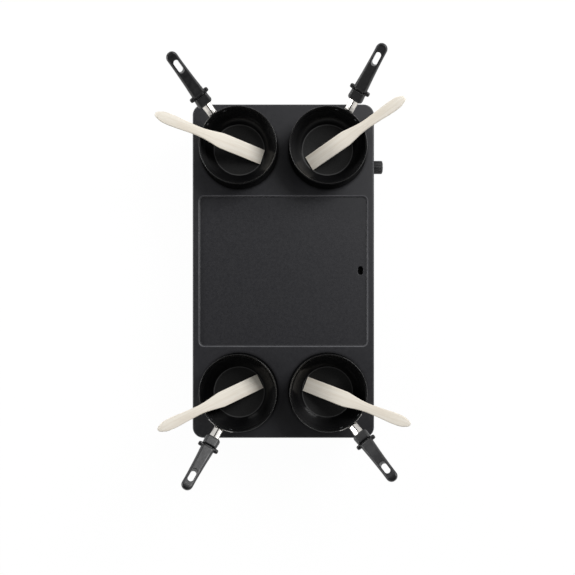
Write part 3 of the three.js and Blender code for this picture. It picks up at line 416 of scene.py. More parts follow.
def plate_coat():
    """Satin non-stick coat with fine sprayed grain, a painted highlight along the griddle's lip and painted
    shade round the pan seats.
    """
    coat = Finish("satin_plate_coat", linear(28, 28, 31), 0.48, Specular_IOR_Level=0.6)
    base = coat.blend(coat.patches(900, 4, 0.35), linear(18, 18, 22), linear(30, 30, 36))
    shade = coat.blend(coat.patches(9, 2), base, linear(25, 25, 30))
    griddle = [side * MM for side in (GRIDDLE_WIDTH, GRIDDLE_LENGTH, GRIDDLE_CORNER)]
    # Painted highlight: the coat is painted paler, in patches, along the griddle's round lip
    off_edge = coat.from_outline(coat.place, *griddle)
    off_lip = coat.maths("ABSOLUTE", coat.maths("ADD", off_edge, LIP_HIGHLIGHT_WIDTH * MM))
    lip_highlight = coat.spread(off_lip, LIP_HIGHLIGHT_WIDTH * MM * 0.4, LIP_HIGHLIGHT_WIDTH * MM, 1, 0)
    lip_highlight = coat.maths("MULTIPLY", lip_highlight, coat.patches(60, 3, to_low=0.6))
    shade = coat.blend(lip_highlight, shade, linear(84, 84, 88))
    gleam = (1, 1, 1, 1)
    # Painted shade: round each pan seat the coat is painted near black and its gleam is dimmed, where the
    # pans' shadow falls
    for place in PLACES:
        from_seat = coat.from_middle(coat.place, TO_METRES @ pan_centre(place))
        seat_shade = coat.spread(from_seat, (SEAT_RADIUS - 1) * MM, (SEAT_RADIUS + SEAT_SHADE_REACH) * MM, 1, 0)
        seat_shade_weight = coat.maths("POWER", seat_shade, 1.5)
        shade = coat.blend(seat_shade_weight, shade, linear(3, 3, 4))
        gleam = coat.blend(seat_shade_weight, gleam, (0.22, 0.22, 0.22, 1))
    roughness = coat.patches(260, 3, to_low=0.44, to_high=0.55)
    coat.dress(Base_Color=shade, Specular_Tint=gleam, Roughness=roughness)
    coat.bump(coat.noise(1100, 3), 0.00006, 0.7)
    return coat.material


def pan_coat():
    """Black non-stick coat on turned metal, so its satin gleam runs up the wall, under a glossy skin, with
    painted light: a paler floor and a painted highlight ring at the crease.
    """
    coat = Finish(
        "glossy_pan_coat", linear(8, 8, 9), 0.5,
        Specular_IOR_Level=0.12, Coat_Roughness=0.14, Anisotropic=0.92,
    )
    made = coat.stored("made_at")
    height = coat.parts(made)["Z"]
    on_floor = coat.spread(height, FLOOR_THICKNESS + 0.05, FLOOR_THICKNESS + 0.35, 1, 0)
    # Painted light: the one coat is painted paler on the floor, which catches the light, than on the wall
    fleck = coat.patches(700, 3, 0.35)
    wall = coat.blend(fleck, linear(2, 2, 3), linear(6, 6, 7))
    floor = coat.blend(fleck, linear(34, 34, 34), linear(46, 46, 46))
    # Painted highlight: a pale ring along the crease between floor and wall
    off_crease = coat.maths("ABSOLUTE", coat.maths("SUBTRACT", coat.from_middle(made), FLOOR_RADIUS - 0.6))
    low = coat.spread(height, PAN_HEIGHT / 3, PAN_HEIGHT / 3 + 1, 1, 0)
    crease_highlight = coat.maths("MULTIPLY", coat.spread(off_crease, 0.35, 0.95, 1, 0), low)
    glossed = coat.spread(height, FLOOR_THICKNESS + 1, FLOOR_THICKNESS + 9, 0.08, 0.7)
    coat.dress(
        Base_Color=coat.blend(crease_highlight, coat.blend(on_floor, wall, floor), linear(70, 70, 70)),
        Roughness=coat.patches(60, 3, to_low=0.5, to_high=0.58),
        Tangent=coat.stored("up_the_wall"),
        Coat_Weight=coat.blend(coat.maths("MAXIMUM", on_floor, crease_highlight), glossed, linear(20, 20, 20)),
    )
    rings = coat.add("ShaderNodeTexWave", Vector=made, Scale=1.1, Distortion=0.4)
    rings.wave_type = "RINGS"
    rings.rings_direction = "Z"
    peel = coat.bump(coat.noise(420, 2), 0.00004, 0.4)
    coat.bump(rings.outputs["Fac"], 0.00001, 0.3, peel)
    return coat.material


def moulded_black(name, tone, roughness, grain):
    """Moulded plastic with a fine spark-eroded grain."""
    black = Finish(name, tone, roughness)
    black.dress(
        Base_Color=black.blend(black.patches(35, 3), tone, times(tone, 1.35)),
        Roughness=black.patches(180, 3, to_low=roughness - 0.06, to_high=roughness + 0.08),
    )
    black.bump(black.noise(grain, 4), 0.00007, 0.6)
    return black.material


def polished_steel(name, seam=False):
    """Polished stainless steel with faint lines along the part; a folded sleeve has a dark seam."""
    steel = Finish(name, linear(205, 203, 199), 0.12, 1)
    made = steel.stored("made_at")
    lines = steel.noise(2.2, 4, steel.stretched(made, (0.06, 2.2, 2.2)))
    shade = steel.blend(steel.spread(lines, 0.3, 0.7), linear(190, 186, 180), linear(214, 212, 209))
    if seam:
        beside = steel.maths("ABSOLUTE", steel.parts(made)["Y"])
        in_seam = steel.spread(beside, SEAM_WIDTH * 0.45, SEAM_WIDTH * 0.6, 1, 0)
        shade = steel.blend(in_seam, shade, linear(34, 31, 28))
    steel.dress(Base_Color=shade, Roughness=steel.spread(lines, 0.25, 0.75, 0.09, 0.22))
    steel.bump(lines, 0.00002, 0.4)
    return steel.material


def rolled_steel(name, tone, roughness):
    """Rolled sheet with a fine lengthwise grain."""
    sheet = Finish(name, tone, roughness, 1)
    grain = sheet.noise(500, 4, sheet.stretched(sheet.place, (0.05, 1, 1)))
    sheet.dress(
        Base_Color=sheet.blend(sheet.spread(grain, 0.3, 0.7), times(tone, 0.72), tone),
        Roughness=sheet.spread(grain, 0.3, 0.7, roughness - 0.08, roughness + 0.1),
    )
    sheet.bump(grain, 0.00003, 0.5)
    return sheet.material


def clouded(name, tone, roughness, metallic, cloud, shades, duller, grain, depth, strength):
    """A surface with clouds, of heat or of dust, in which it turns lighter and duller."""
    surface = Finish(name, tone, roughness, metallic)
    patch = surface.patches(*cloud)
    surface.dress(Base_Color=surface.blend(patch, *shades), Roughness=surface.spread(patch, 0, 1, *duller))
    surface.bump(surface.noise(*grain), depth, strength)
    return surface.material


def birch():
    """Sanded birch: pale, with long fibres, faint growth lines and small darker flecks."""
    wood = Finish("sanded_birch", linear(222, 214, 203), 0.62, Specular_IOR_Level=0.35)
    made = wood.stored("made_at")
    fibres = wood.noise(1.6, 5, wood.stretched(made, (0.035, 1, 1)), 0.6)
    growth = wood.noise(0.9, 3, wood.stretched(made, (0.012, 0.35, 0.35)), 0.5, 0.6)
    pores = wood.cells(0.8, wood.stretched(made, (0.12, 1.6, 1.6)))
    base = wood.blend(wood.spread(growth, 0.35, 0.65), linear(238, 230, 216), linear(249, 244, 233))
    fine = wood.blend(wood.spread(fibres, 0.3, 0.75, 0.35, 0), base, linear(222, 210, 192))
    wood.dress(
        Base_Color=wood.blend(wood.spread(pores, 0.02, 0.12, 0.3, 0), fine, linear(190, 170, 145)),
        Roughness=wood.spread(fibres, 0.3, 0.7, 0.55, 0.7),
    )
    wood.bump(fibres, 0.00006, 0.5)
    return wood.material


def amber_lens():
    lens = Finish("pilot_amber", linear(196, 62, 18), 0.12, Transmission_Weight=0.5, IOR=1.49)
    lens.dress(Base_Color=lens.blend(lens.patches(300, 2), linear(176, 40, 14), linear(214, 84, 26)))
    lens.bump(lens.cells(900), 0.00004, 0.5)
    return lens.material


def lamp_glass():
    glass = Finish("neon_glass", linear(226, 222, 212), 0.1, Transmission_Weight=0.7, IOR=1.5)
    glass.dress(Base_Color=glass.blend(glass.noise(200, 2), linear(216, 208, 190), linear(236, 234, 228)))
    glass.bump(glass.noise(500, 2), 0.00003, 0.3)
    return glass.material


def dial_ink():
    ink = Finish("pale_dial_ink", linear(200, 200, 198), 0.6)
    ink.dress(Base_Color=ink.blend(ink.noise(2500, 3), linear(188, 188, 186), linear(210, 210, 208)))
    ink.bump(ink.noise(3000, 2), 0.00002, 0.4)
    return ink.material


FINISHES = {
    "coated_plate": plate_coat(),
    "coated_pan": pan_coat(),
    "black_plastic": moulded_black("grained_housing_plastic", linear(26, 26, 28), 0.46, 1400),
    "bakelite": moulded_black("moulded_handle_resin", linear(17, 17, 19), 0.36, 900),
    "steel": polished_steel("polished_stainless"),
    "seamed_steel": polished_steel("folded_stainless", True),
    "plain_steel": rolled_steel("turned_steel", linear(182, 182, 184), 0.28),
    "dark_rivet": rolled_steel("coated_rivet_steel", linear(88, 88, 90), 0.4),
    "sheet_steel": rolled_steel("rolled_sheet_steel", linear(188, 189, 192), 0.36),
    "element_sheath": clouded(
        "heater_sheath", linear(92, 94, 86), 0.5, 0.8,
        cloud=(70, 4, 0.35, 0.65), shades=(linear(64, 62, 54), linear(112, 116, 110)),
        duller=(0.38, 0.6), grain=(1500, 3), depth=0.00004, strength=0.5,
    ),
    "rubber": clouded(
        "foot_rubber", linear(24, 24, 25), 0.85, 0,
        cloud=(120, 4, 0.45, 0.75), shades=(linear(20, 20, 21), linear(38, 38, 39)),
        duller=(0.78, 0.92), grain=(2000, 2), depth=0.00005, strength=0.6,
    ),
    "brass": clouded(
        "plated_brass", linear(190, 158, 92), 0.3, 1,
        cloud=(160, 4, 0.35, 0.7), shades=(linear(168, 136, 78), linear(204, 176, 112)),
        duller=(0.24, 0.42), grain=(900, 3), depth=0.00003, strength=0.4,
    ),
    "wood": birch(),
    "lens": amber_lens(),
    "lamp": lamp_glass(),
    "dial": dial_ink(),
}


# Ways of making a piece

def mesh_from(points, faces, edges=()):
    mesh = bpy.data.meshes.new("shape")
    mesh.from_pydata([tuple(point) for point in points], edges, faces)
    mesh.update()
    return mesh


def tidied(mesh, merge=0.001):
    """Merges doubles and turns every face outwards."""
    work = bmesh.new()
    work.from_mesh(mesh)
    bmesh.ops.remove_doubles(work, verts=work.verts, dist=merge)
    bmesh.ops.dissolve_degenerate(work, edges=work.edges, dist=merge / 10)
    bmesh.ops.recalc_face_normals(work, faces=work.faces)
    work.to_mesh(mesh)
    work.free()
    return mesh


def result_of(made):
    """The evaluated mesh of an object, which is then removed."""
    bpy.context.view_layer.update()
    graph = bpy.context.evaluated_depsgraph_get()
    mesh = bpy.data.meshes.new_from_object(made.evaluated_get(graph), depsgraph=graph)
    bpy.data.objects.remove(made)
    return mesh


def modify(made, name, kind, **settings):
    """Adds a modifier with its settings."""
    modifier = made.modifiers.new(name, kind)
    for setting, value in settings.items():
        setattr(modifier, setting, value)


def combined(first, others, operation):
    """Joins meshes to the first one or cuts them from it."""
    made = object_of(first, "work_body")
    tools = [object_of(mesh, f"work_tool_{i}") for i, mesh in enumerate(others)]
    for tool in tools:
        modify(made, tool.name, "BOOLEAN", operation=operation, solver="MANIFOLD", object=tool)
    mesh = result_of(made)
    for tool in tools:
        bpy.data.objects.remove(tool)
    return mesh


def moved(mesh, matrix):
    copy = mesh.copy()
    copy.transform(matrix)
    return copy


def shift(x, y, z):
    return Matrix.Translation((x, y, z))


def skin(rings, hollow=False):
    """A skin over rings of equal count, with flat ends or, if hollow, back from the last to the first."""
    rows, count = len(rings), len(rings[0])
    faces = []
    for row in range(rows if hollow else rows - 1):
        here, there = row * count, (row + 1) % rows * count
        for i in range(count):
            following = (i + 1) % count
            faces.append((here + i, here + following, there + following, there + i))
    if not hollow:
        last = (rows - 1) * count
        faces += [tuple(range(count - 1, -1, -1)), tuple(range(last, last + count))]
    return tidied(mesh_from([point for ring in rings for point in ring], faces))


def rounded_rect(width, length, radius, steps=10):
    points = []
    for quarter, (side_x, side_y) in enumerate(((1, 1), (-1, 1), (-1, -1), (1, -1))):
        for i in range(steps + 1):
            angle = (quarter + i / steps) * QUARTER
            points.append((
                side_x * (width / 2 - radius) + radius * cos(angle),
                side_y * (length / 2 - radius) + radius * sin(angle),
            ))
    return points


def slab(width, length, corner, levels, steps=10):
    """A stack of rounded rectangles; a level gives how far it is drawn in, and its height."""
    rings = []
    for inset, height in levels:
        radius = max(corner - inset, corner / 8)
        outline = rounded_rect(width - 2 * inset, length - 2 * inset, radius, steps)
        rings.append([(x, y, height) for x, y in outline])
    return skin(rings)


def bar(size, radius, steps, ends, x_middle=0, y_middle=0):
    """An upright bar of rounded section between two heights."""
    outline = [(x + x_middle, y + y_middle) for x, y in rounded_rect(*size, radius, steps)]
    return skin([[(x, y, height) for x, y in outline] for height in ends])


def arc(centre_inset, centre_height, radius, start, end, rise=None):
    """Levels on an arc; angles are in quarter turns, from the drawn-in side upwards."""
    angles = [(start + (end - start) * i / 8) * QUARTER for i in range(9)]
    rise = rise or radius
    return [(centre_inset + radius * cos(angle), centre_height + rise * sin(angle)) for angle in angles]


def slot_levels(width, length, bottom, top, lip):
    """A slot with round ends and a rounded lip at its top."""
    levels = [(lip, bottom), *arc(0, top - lip, lip, 0, 1), (0, top + lip)]
    return slab(width + 2 * lip, length + 2 * lip, width / 2 + lip - 0.01, levels)


def smooth_line(points, steps):
    """A line that runs smoothly through the points."""
    line = []
    for i in range(len(points) - 1):
        before = points[max(i - 1, 0)]
        start, end = points[i], points[i + 1]
        after = points[min(i + 2, len(points) - 1)]
        for k in range(steps):
            t = k / steps
            line.append(tuple(
                0.5 * (2 * b + (c - a) * t + (2 * a - 5 * b + 4 * c - d) * t * t
                       + (3 * b - a - 3 * c + d) * t ** 3)
                for a, b, c, d in zip(before, start, end, after)
            ))
    line.append(tuple(points[-1]))
    return line


def shaded(mesh, sharp_degrees):
    for polygon in mesh.polygons:
        polygon.use_smooth = True
    mesh.set_sharp_from_angle(angle=radians(sharp_degrees))
    return mesh


def remember(mesh, name, vectors):
    """Stores a vector at each point, for a material to read."""
    stored = mesh.attributes.new(name, "FLOAT_VECTOR", "POINT")
    stored.data.foreach_set("vector", [part for vector in vectors for part in vector])
    return mesh


def remember_place(mesh):
    """Stores where each point was made, before the piece is turned into its place."""
    return remember(mesh, "made_at", [tuple(vertex.co) for vertex in mesh.vertices])


def remember_outward(mesh, matrix):
    """Stores at each point the direction away from the pan's axis, in the scene's frame."""
    axis = matrix.to_translation()
    ways = [((vertex.co - axis) * Vector((1, 1, 0))).normalized() for vertex in mesh.vertices]
    remember(mesh, "up_the_wall", [way if way.length > 0 else (1, 0, 0) for way in ways])


def even_flats(made):
    """Shades flat faces evenly up to their eased edges."""
    modify(made, "even_flats", "WEIGHTED_NORMAL", keep_sharp=True)


def piece(name, mesh, body, slot, *replaced, matrix=TO_METRES, sharp=38, finish=None):
    """Puts a finished mesh into the scene as a piece that rides on a body."""
    placed = mesh.copy()
    placed.transform(matrix)
    if slot == "coated_pan":
        remember_outward(placed, matrix)
    placed.materials.clear()
    placed.materials.append(FINISHES[finish or slot])
    made = object_of(shaded(placed, sharp), name)
    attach(made, body)
    if replaced:
        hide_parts(*replaced)
    return made


def softened(name, node, body, slot, width):
    """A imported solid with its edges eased."""
    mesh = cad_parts[node].data.copy()
    work = bmesh.new()
    work.from_mesh(mesh)
    bmesh.ops.remove_doubles(work, verts=work.verts, dist=0.002 * MM)
    flat = radians(0.6)
    bmesh.ops.dissolve_limit(work, angle_limit=flat, verts=work.verts, edges=work.edges)
    work.to_mesh(mesh)
    work.free()
    made = piece(name, mesh, body, slot, node, matrix=Matrix.Identity(4))
    bevel = {"segments": 2, "limit_method": "ANGLE", "angle_limit": radians(40)}
    modify(made, "eased_edges", "BEVEL", width=width * MM, **bevel)
    even_flats(made)


# Geometry node trees

class Tree(Nodes):
    """A geometry node tree whose inputs are named sizes."""

    def __init__(self, name, inputs):
        super().__init__(bpy.data.node_groups.new(name, "GeometryNodeTree"))
        face = self.tree.interface
        face.new_socket("Geometry", in_out="OUTPUT", socket_type="NodeSocketGeometry")
        for label, kind in (("Geometry", "Geometry"), *inputs, ("Finish", "Material")):
            face.new_socket(label, in_out="INPUT", socket_type=f"NodeSocket{kind}")
        self.given = self.add("NodeGroupInput").outputs

    def finish(self, geometry):
        realized = self.add("GeometryNodeRealizeInstances", Geometry=geometry).outputs["Geometry"]
        finished = self.add("GeometryNodeSetMaterial", Geometry=realized, Material=self.given["Finish"])
        self.add("NodeGroupOutput", Geometry=finished.outputs["Geometry"])

    def run(self, mesh, slot, **sizes):
        """Runs the tree on a mesh and gives the plain result."""
        made = object_of(mesh, "work_tree")
        modifier = made.modifiers.new(self.tree.name, "NODES")
        modifier.node_group = self.tree
        sizes["Finish"] = FINISHES[slot]
        for item in self.tree.interface.items_tree:
            label = item.name.replace(" ", "_")
            if item.in_out == "INPUT" and label in sizes:
                modifier[item.identifier] = sizes[label]
        return result_of(made)


def turning_tree():
    """Turns a profile of points, with X as its radius and Z as its height, about the Z axis."""
    tree = Tree("turned_part", [("Sides", "Int")])
    profile, sides = tree.given["Geometry"], tree.given["Sides"]
    count = tree.add("GeometryNodeAttributeDomainSize", Geometry=profile).outputs["Point Count"]
    grid = tree.add("GeometryNodeMeshGrid", Vertices_X=tree.maths("ADD", sides, 1), Vertices_Y=count)
    index = tree.add("GeometryNodeInputIndex").outputs["Index"]
    row = tree.maths("FLOOR", tree.maths("DIVIDE", tree.maths("ADD", index, 0.25), count))
    angle = tree.maths("MULTIPLY", tree.maths("DIVIDE", row, sides), TURN)
    sample = tree.add("GeometryNodeSampleIndex")
    sample.data_type = "FLOAT_VECTOR"
    tree.put(profile, sample.inputs["Geometry"])
    tree.put(tree.add("GeometryNodeInputPosition").outputs["Position"], sample.inputs["Value"])
    tree.put(tree.maths("MODULO", index, count), sample.inputs["Index"])
    point = tree.parts(sample.outputs["Value"])
    place = tree.add(
        "ShaderNodeCombineXYZ",
        X=tree.maths("MULTIPLY", point["X"], tree.maths("COSINE", angle)),
        Y=tree.maths("MULTIPLY", point["X"], tree.maths("SINE", angle)),
        Z=point["Z"],
    ).outputs["Vector"]
    turned = tree.add("GeometryNodeSetPosition", Geometry=grid.outputs["Mesh"], Position=place)
    merged = tree.add("GeometryNodeMergeByDistance", Geometry=turned.outputs["Geometry"], Distance=0.002)
    tree.finish(merged.outputs["Geometry"])
    return tree


def circling_tree():
    """Repeats a part about the Z axis, from a first angle on, by equal steps."""
    tree = Tree("parts_round_an_axis", [("Count", "Int"), ("First", "Float"), ("Step", "Float")])
    points = tree.add("GeometryNodePoints", Count=tree.given["Count"])
    index = tree.add("GeometryNodeInputIndex").outputs["Index"]
    angle = tree.maths("ADD", tree.given["First"], tree.maths("MULTIPLY", index, tree.given["Step"]))
    copies = tree.add(
        "GeometryNodeInstanceOnPoints",
        Points=points.outputs["Points"],
        Instance=tree.given["Geometry"],
        Rotation=tree.add("ShaderNodeCombineXYZ", Z=angle).outputs["Vector"],
    )
    tree.finish(copies.outputs["Instances"])
    return tree


def corner_tree():
    """Repeats a part at the four corners of a rectangle."""
    tree = Tree("parts_at_four_corners", [("Span X", "Float"), ("Span Y", "Float")])
    spans = {"Size_X": tree.given["Span X"], "Size_Y": tree.given["Span Y"]}
    grid = tree.add("GeometryNodeMeshGrid", Vertices_X=2, Vertices_Y=2, **spans).outputs["Mesh"]
    copies = tree.add("GeometryNodeInstanceOnPoints", Points=grid, Instance=tree.given["Geometry"])
    tree.finish(copies.outputs["Instances"])
    return tree


TURNING = turning_tree()
CIRCLING = circling_tree()
CORNERS = corner_tree()


def turned(profile, sides, slot):
    """A closed turned part from [radius, height] points that start and end on the axis."""
    points = [(max(radius, 0), 0, height) for radius, height in profile]
    line = mesh_from(points, [], [(i, i + 1) for i in range(len(points) - 1)])
    return tidied(TURNING.run(line, slot, Sides=sides), 0.002)


# Grill plate

def make_plate():
    skirt_bottom = PLATE_TOP - SKIRT_DEPTH
    under = PLATE_TOP - PLATE_THICKNESS
    foot_ease = SKIRT_WALL / 5
    edge = arc(0, PLATE_TOP - PLATE_EDGE, PLATE_EDGE, 0, 1)
    edge = [(PLATE_EDGE - inset, height) for inset, height in edge]
    body_levels = [(foot_ease, skirt_bottom), (0, skirt_bottom + foot_ease), *edge]
    body = slab(PLATE_WIDTH, PLATE_LENGTH, PLATE_CORNER, body_levels, 14)
    hollow = slab(PLATE_WIDTH, PLATE_LENGTH, PLATE_CORNER, [
        (SKIRT_WALL, skirt_bottom - PLATE_EDGE), (SKIRT_WALL, under - PLATE_EDGE),
        (SKIRT_WALL + PLATE_EDGE, under),
    ])
    griddle_floor = PLATE_TOP - GRIDDLE_DEPTH
    hollow_round = GRIDDLE_DEPTH - GRIDDLE_LIP
    cove = [
        (GRIDDLE_LIP_WIDTH + inset, height)
        for inset, height in arc(hollow_round, griddle_floor + hollow_round, hollow_round, -1, -2)
    ]
    lip = [
        (GRIDDLE_LIP_WIDTH * inset, PLATE_TOP + GRIDDLE_LIP * (height - 1))
        for inset, height in arc(0, 0, 1, 0, 1)
    ]
    griddle_levels = [*cove, *lip, (0, PLATE_TOP + GRIDDLE_LIP)]
    griddle = slab(GRIDDLE_WIDTH, GRIDDLE_LENGTH, GRIDDLE_CORNER, griddle_levels, 12)
    seat_floor = PLATE_TOP - SEAT_DEPTH
    ease = SEAT_DEPTH / 2
    seat = turned([
        (0, seat_floor), (SEAT_RADIUS - ease, seat_floor), (SEAT_RADIUS, seat_floor + ease),
        (SEAT_RADIUS, PLATE_TOP - ease / 2), (SEAT_RADIUS + ease / 2, PLATE_TOP),
        (SEAT_RADIUS + ease / 2, PLATE_TOP + ease), (0, PLATE_TOP + ease),
    ], 96, "coated_plate")
    seats = [moved(seat, shift(*pan_centre(place).xy, 0)) for place in PLACES]
    at_drain = shift(PLATE_WIDTH / 2 - DRAIN_INSET, DRAIN_Y, 0)
    spout_bottom = plate_low.z
    spout_size = (DRAIN_WIDTH + 2 * SPOUT_WALL, DRAIN_LENGTH + 2 * SPOUT_WALL)
    spout = slab(*spout_size, spout_size[0] / 2.05, [(0, spout_bottom), (0, under + SPOUT_WALL)])
    drain = slot_levels(DRAIN_WIDTH, DRAIN_LENGTH, spout_bottom - SPOUT_WALL, griddle_floor, DRAIN_LIP)
    column_foot, column_top = skirt_bottom + SKIRT_DEPTH / 3, under + 1
    column = turned([
        (0, column_foot), (COLUMN_RADIUS, column_foot), (COLUMN_RADIUS, column_top), (0, column_top),
    ], 32, "coated_plate")
    columns = CORNERS.run(column, "coated_plate", **corner_spans())
    cast = combined(combined(body, [hollow], "DIFFERENCE"), [columns, moved(spout, at_drain)], "UNION")
    return combined(cast, [griddle, *seats, moved(drain, at_drain)], "DIFFERENCE")


# Pans

def at_pan_turned(place, degrees):
    """The place of a pan in metres, turned about its upright axis."""
    return TO_METRES @ Matrix.Translation(pan_centre(place)) @ Matrix.Rotation(radians(degrees), 4, "Z")


HANDLE_MATRIX = shift(RIM_RADIUS, 0, HANDLE_ROOT) @ Matrix.Rotation(-HANDLE_TILT, 4, "Y")


def wall_point(share, offset=0):
    """A point of the pan's wall: a curve from the crease, at 0, that turns upright below the lip, at 1."""
    lip_radius = RIM_RADIUS - LIP_WIDTH
    upright = Vector((lip_radius - WALL_FLARE, UPRIGHT_HEIGHT))
    if share > UPRIGHT_SHARE:
        rest = (share - UPRIGHT_SHARE) / (1 - UPRIGHT_SHARE)
        slope = Vector((WALL_FLARE, PAN_HEIGHT - LIP_HEIGHT - UPRIGHT_HEIGHT))
        radius, height = upright + slope * rest
    else:
        start, start_cos = sin(CREASE_SHARE * QUARTER), cos(CREASE_SHARE * QUARTER)
        angle = (CREASE_SHARE + (1 - CREASE_SHARE) * share / UPRIGHT_SHARE) * QUARTER
        reach = (upright.x - FLOOR_RADIUS) / (1 - start)
        climb = (UPRIGHT_HEIGHT - FLOOR_THICKNESS) / start_cos
        slope = Vector((cos(angle) * reach, sin(angle) * climb))
        radius = FLOOR_RADIUS + (sin(angle) - start) * reach
        height = FLOOR_THICKNESS + (start_cos - cos(angle)) * climb
    slope.normalize()
    return radius + slope.y * offset, height - slope.x * offset


def halved(low, high, rounds, too_far):
    """Narrows a range down to where a test turns true, by halving."""
    for _ in range(rounds):
        middle = (low + high) / 2
        if too_far(middle):
            high = middle
        else:
            low = middle
    return low, high


def wall_radius(height, offset):
    """The wall's radius at a height."""
    share, _ = halved(0.0, 1.0, 30, lambda middle: wall_point(middle, offset)[1] >= height)
    return wall_point(share, offset)[0]


def make_pan():
    steps = 22
    outside_start = 0.12
    inside = [wall_point(1 - i / steps) for i in range(steps)]
    outside = [
        wall_point(outside_start + (1 - outside_start) * i / steps, PAN_WALL) for i in range(steps + 1)
    ]
    lip = smooth_line([
        outside[-1],
        (RIM_RADIUS - 0.25, PAN_HEIGHT - PAN_WALL), (RIM_RADIUS, PAN_HEIGHT - PAN_WALL / 2),
        (RIM_RADIUS - 0.3, PAN_HEIGHT - 0.12), (RIM_RADIUS - 0.8, PAN_HEIGHT),
        (RIM_RADIUS - LIP_WIDTH + 0.9, PAN_HEIGHT - 0.8),
        inside[0],
    ], 4)
    crease = smooth_line([
        inside[-1],
        (FLOOR_RADIUS + 0.2, FLOOR_THICKNESS + 0.16), (FLOOR_RADIUS - 0.7, FLOOR_THICKNESS),
    ], 3)
    base = smooth_line([
        (BASE_RADIUS - 1.2, 0), (BASE_RADIUS - 0.3, 0.25), (BASE_RADIUS + 0.1, 1),
        outside[0],
    ], 4)
    profile = [(0, 0), (BASE_RADIUS - 8, 0), *base, *outside[1:-1], *lip, *inside[1:-1], *crease]
    profile += [(FLOOR_RADIUS / 2, FLOOR_THICKNESS), (0, FLOOR_THICKNESS)]
    return turned(profile, 128, "coated_pan")


def bracket_section(half):
    """A section of the band as [radius, height] points: up its inner face, and down its outer face."""
    inner_gap = PAN_WALL + REST_GAP
    round_edge = BRACKET_THICKNESS / 2
    middle = (BRACKET_BOTTOM + BRACKET_TOP) / 2
    low, high = middle - half + round_edge, middle + half - round_edge
    heights = [low + (high - low) * k / 6 for k in range(7)]
    turns = [k / 6 * pi for k in range(1, 6)]

    def rounding(height, way):
        centre = wall_radius(height, inner_gap + round_edge)
        return [
            (centre - way * round_edge * cos(turn), height + way * round_edge * sin(turn))
            for turn in turns
        ]

    return [
        *((wall_radius(height, inner_gap), height) for height in heights),
        *rounding(high, 1),
        *((wall_radius(height, inner_gap + BRACKET_THICKNESS), height) for height in reversed(heights)),
        *rounding(low, -1),
    ]


def make_bracket():
    """A band that hugs the wall, with rounded ends, and the tongue that enters the ferrule."""
    rows = 28
    rings = []
    for i in range(rows + 1):
        share = 2 * i / rows - 1
        angle = share * BRACKET_HALF_ANGLE
        into_end = max(0, (abs(share) - (1 - BRACKET_END)) / BRACKET_END)
        narrowing = 1 - sqrt(max(0, 1 - into_end ** 2))
        half = (BRACKET_TOP - BRACKET_BOTTOM) / 2 * (1 - BRACKET_END_FALL * narrowing)
        rings.append([
            (radius * cos(angle), radius * sin(angle), height)
            for radius, height in bracket_section(half)
        ])
    shrink = 2 * (FERRULE_WALL + REST_GAP)
    section = rounded_rect(FERRULE_ROOT[0] - shrink, FERRULE_ROOT[1] - shrink, 3, 5)
    tongue = skin([[(station, x, y) for x, y in section] for station in TONGUE_STATIONS])
    return combined(skin(rings), [moved(tongue, HANDLE_MATRIX)], "UNION")


def eased(corners, limit, sharp=()):
    """An outline through the corners, with each one rounded except the sharp ones."""
    outline = []
    for i, corner in enumerate(corners):
        corner = Vector(corner)
        if i in sharp:
            outline.append(tuple(corner))
            continue
        before = Vector(corners[i - 1])
        after = Vector(corners[(i + 1) % len(corners)])
        reach = min(CORNER_EASE * min((before - corner).length, (after - corner).length), limit)
        start = corner + (before - corner).normalized() * reach
        end = corner + (after - corner).normalized() * reach
        for k in range(4):
            t = k / 3
            outline.append(tuple(start * (1 - t) ** 2 + corner * (2 * t * (1 - t)) + end * t * t))
    return outline


def ferrule_ring(station, shrink):
    """A section of the ferrule: two flats that meet in a seam on top, over a rounded underside."""
    share = max(0, (station - FERRULE_END / 2) / (FERRULE_END / 2))
    a, b = (
        (root + (mouth - root) * share - shrink) / 2 for root, mouth in zip(FERRULE_ROOT, FERRULE_MOUTH)
    )
    fall = a * tan(FLAT_PITCH)
    top = b - 0.1
    seam = 0.0 if shrink else SEAM_DEPTH
    corners = [
        (a, b - fall), (SEAM_WIDTH / 2, top), (0, top - seam), (-SEAM_WIDTH / 2, top),
        (-a, b - fall), (-a, -0.4 * b), (-0.5 * a, -b), (0.5 * a, -b), (a, -0.4 * b),
    ]
    return eased(corners, 1.6, (1, 2, 3))


def make_ferrule():
    """A sleeve whose root follows the pan's wall and whose mouth is rolled."""
    reach = PAN_WALL + BRACKET_THICKNESS + 2 * REST_GAP
    top = PAN_HEIGHT - LIP_HEIGHT - 0.1

    def root_station(x, y):
        def outside(station):
            point = HANDLE_MATRIX @ Vector((station, x, y))
            height = min(max(point.z, BRACKET_BOTTOM - 4), top)
            return hypot(point.x, point.y) > wall_radius(height, reach)

        return halved(FERRULE_START, FERRULE_END / 2, 24, outside)[1]

    rows = 16
    walls = []
    for shrink in (0, 2 * FERRULE_WALL):
        starts = [root_station(x, y) for x, y in ferrule_ring(0, shrink)]
        wall = []
        for i in range(rows + 1):
            stations = [start + (FERRULE_END - start) * i / rows for start in starts]
            wall.append([(station, *ferrule_ring(station, shrink)[k]) for k, station in enumerate(stations)])
        walls.append(wall)
    outer, inner = walls
    return skin(outer + inner[::-1], hollow=True)


def grip_ring(station, width, height):
    """An eight-sided section with eased corners: flat top and bottom, sloping shoulders."""
    a, b = width / 2, height / 2
    flat, side = GRIP_FLAT * a, GRIP_SIDE * b
    corners = [(a, -side), (a, side), (flat, b), (-flat, b), (-a, side), (-a, -side), (-flat, -b), (flat, -b)]
    return [(station, x, y) for x, y in eased(corners, 0.3 * b)]


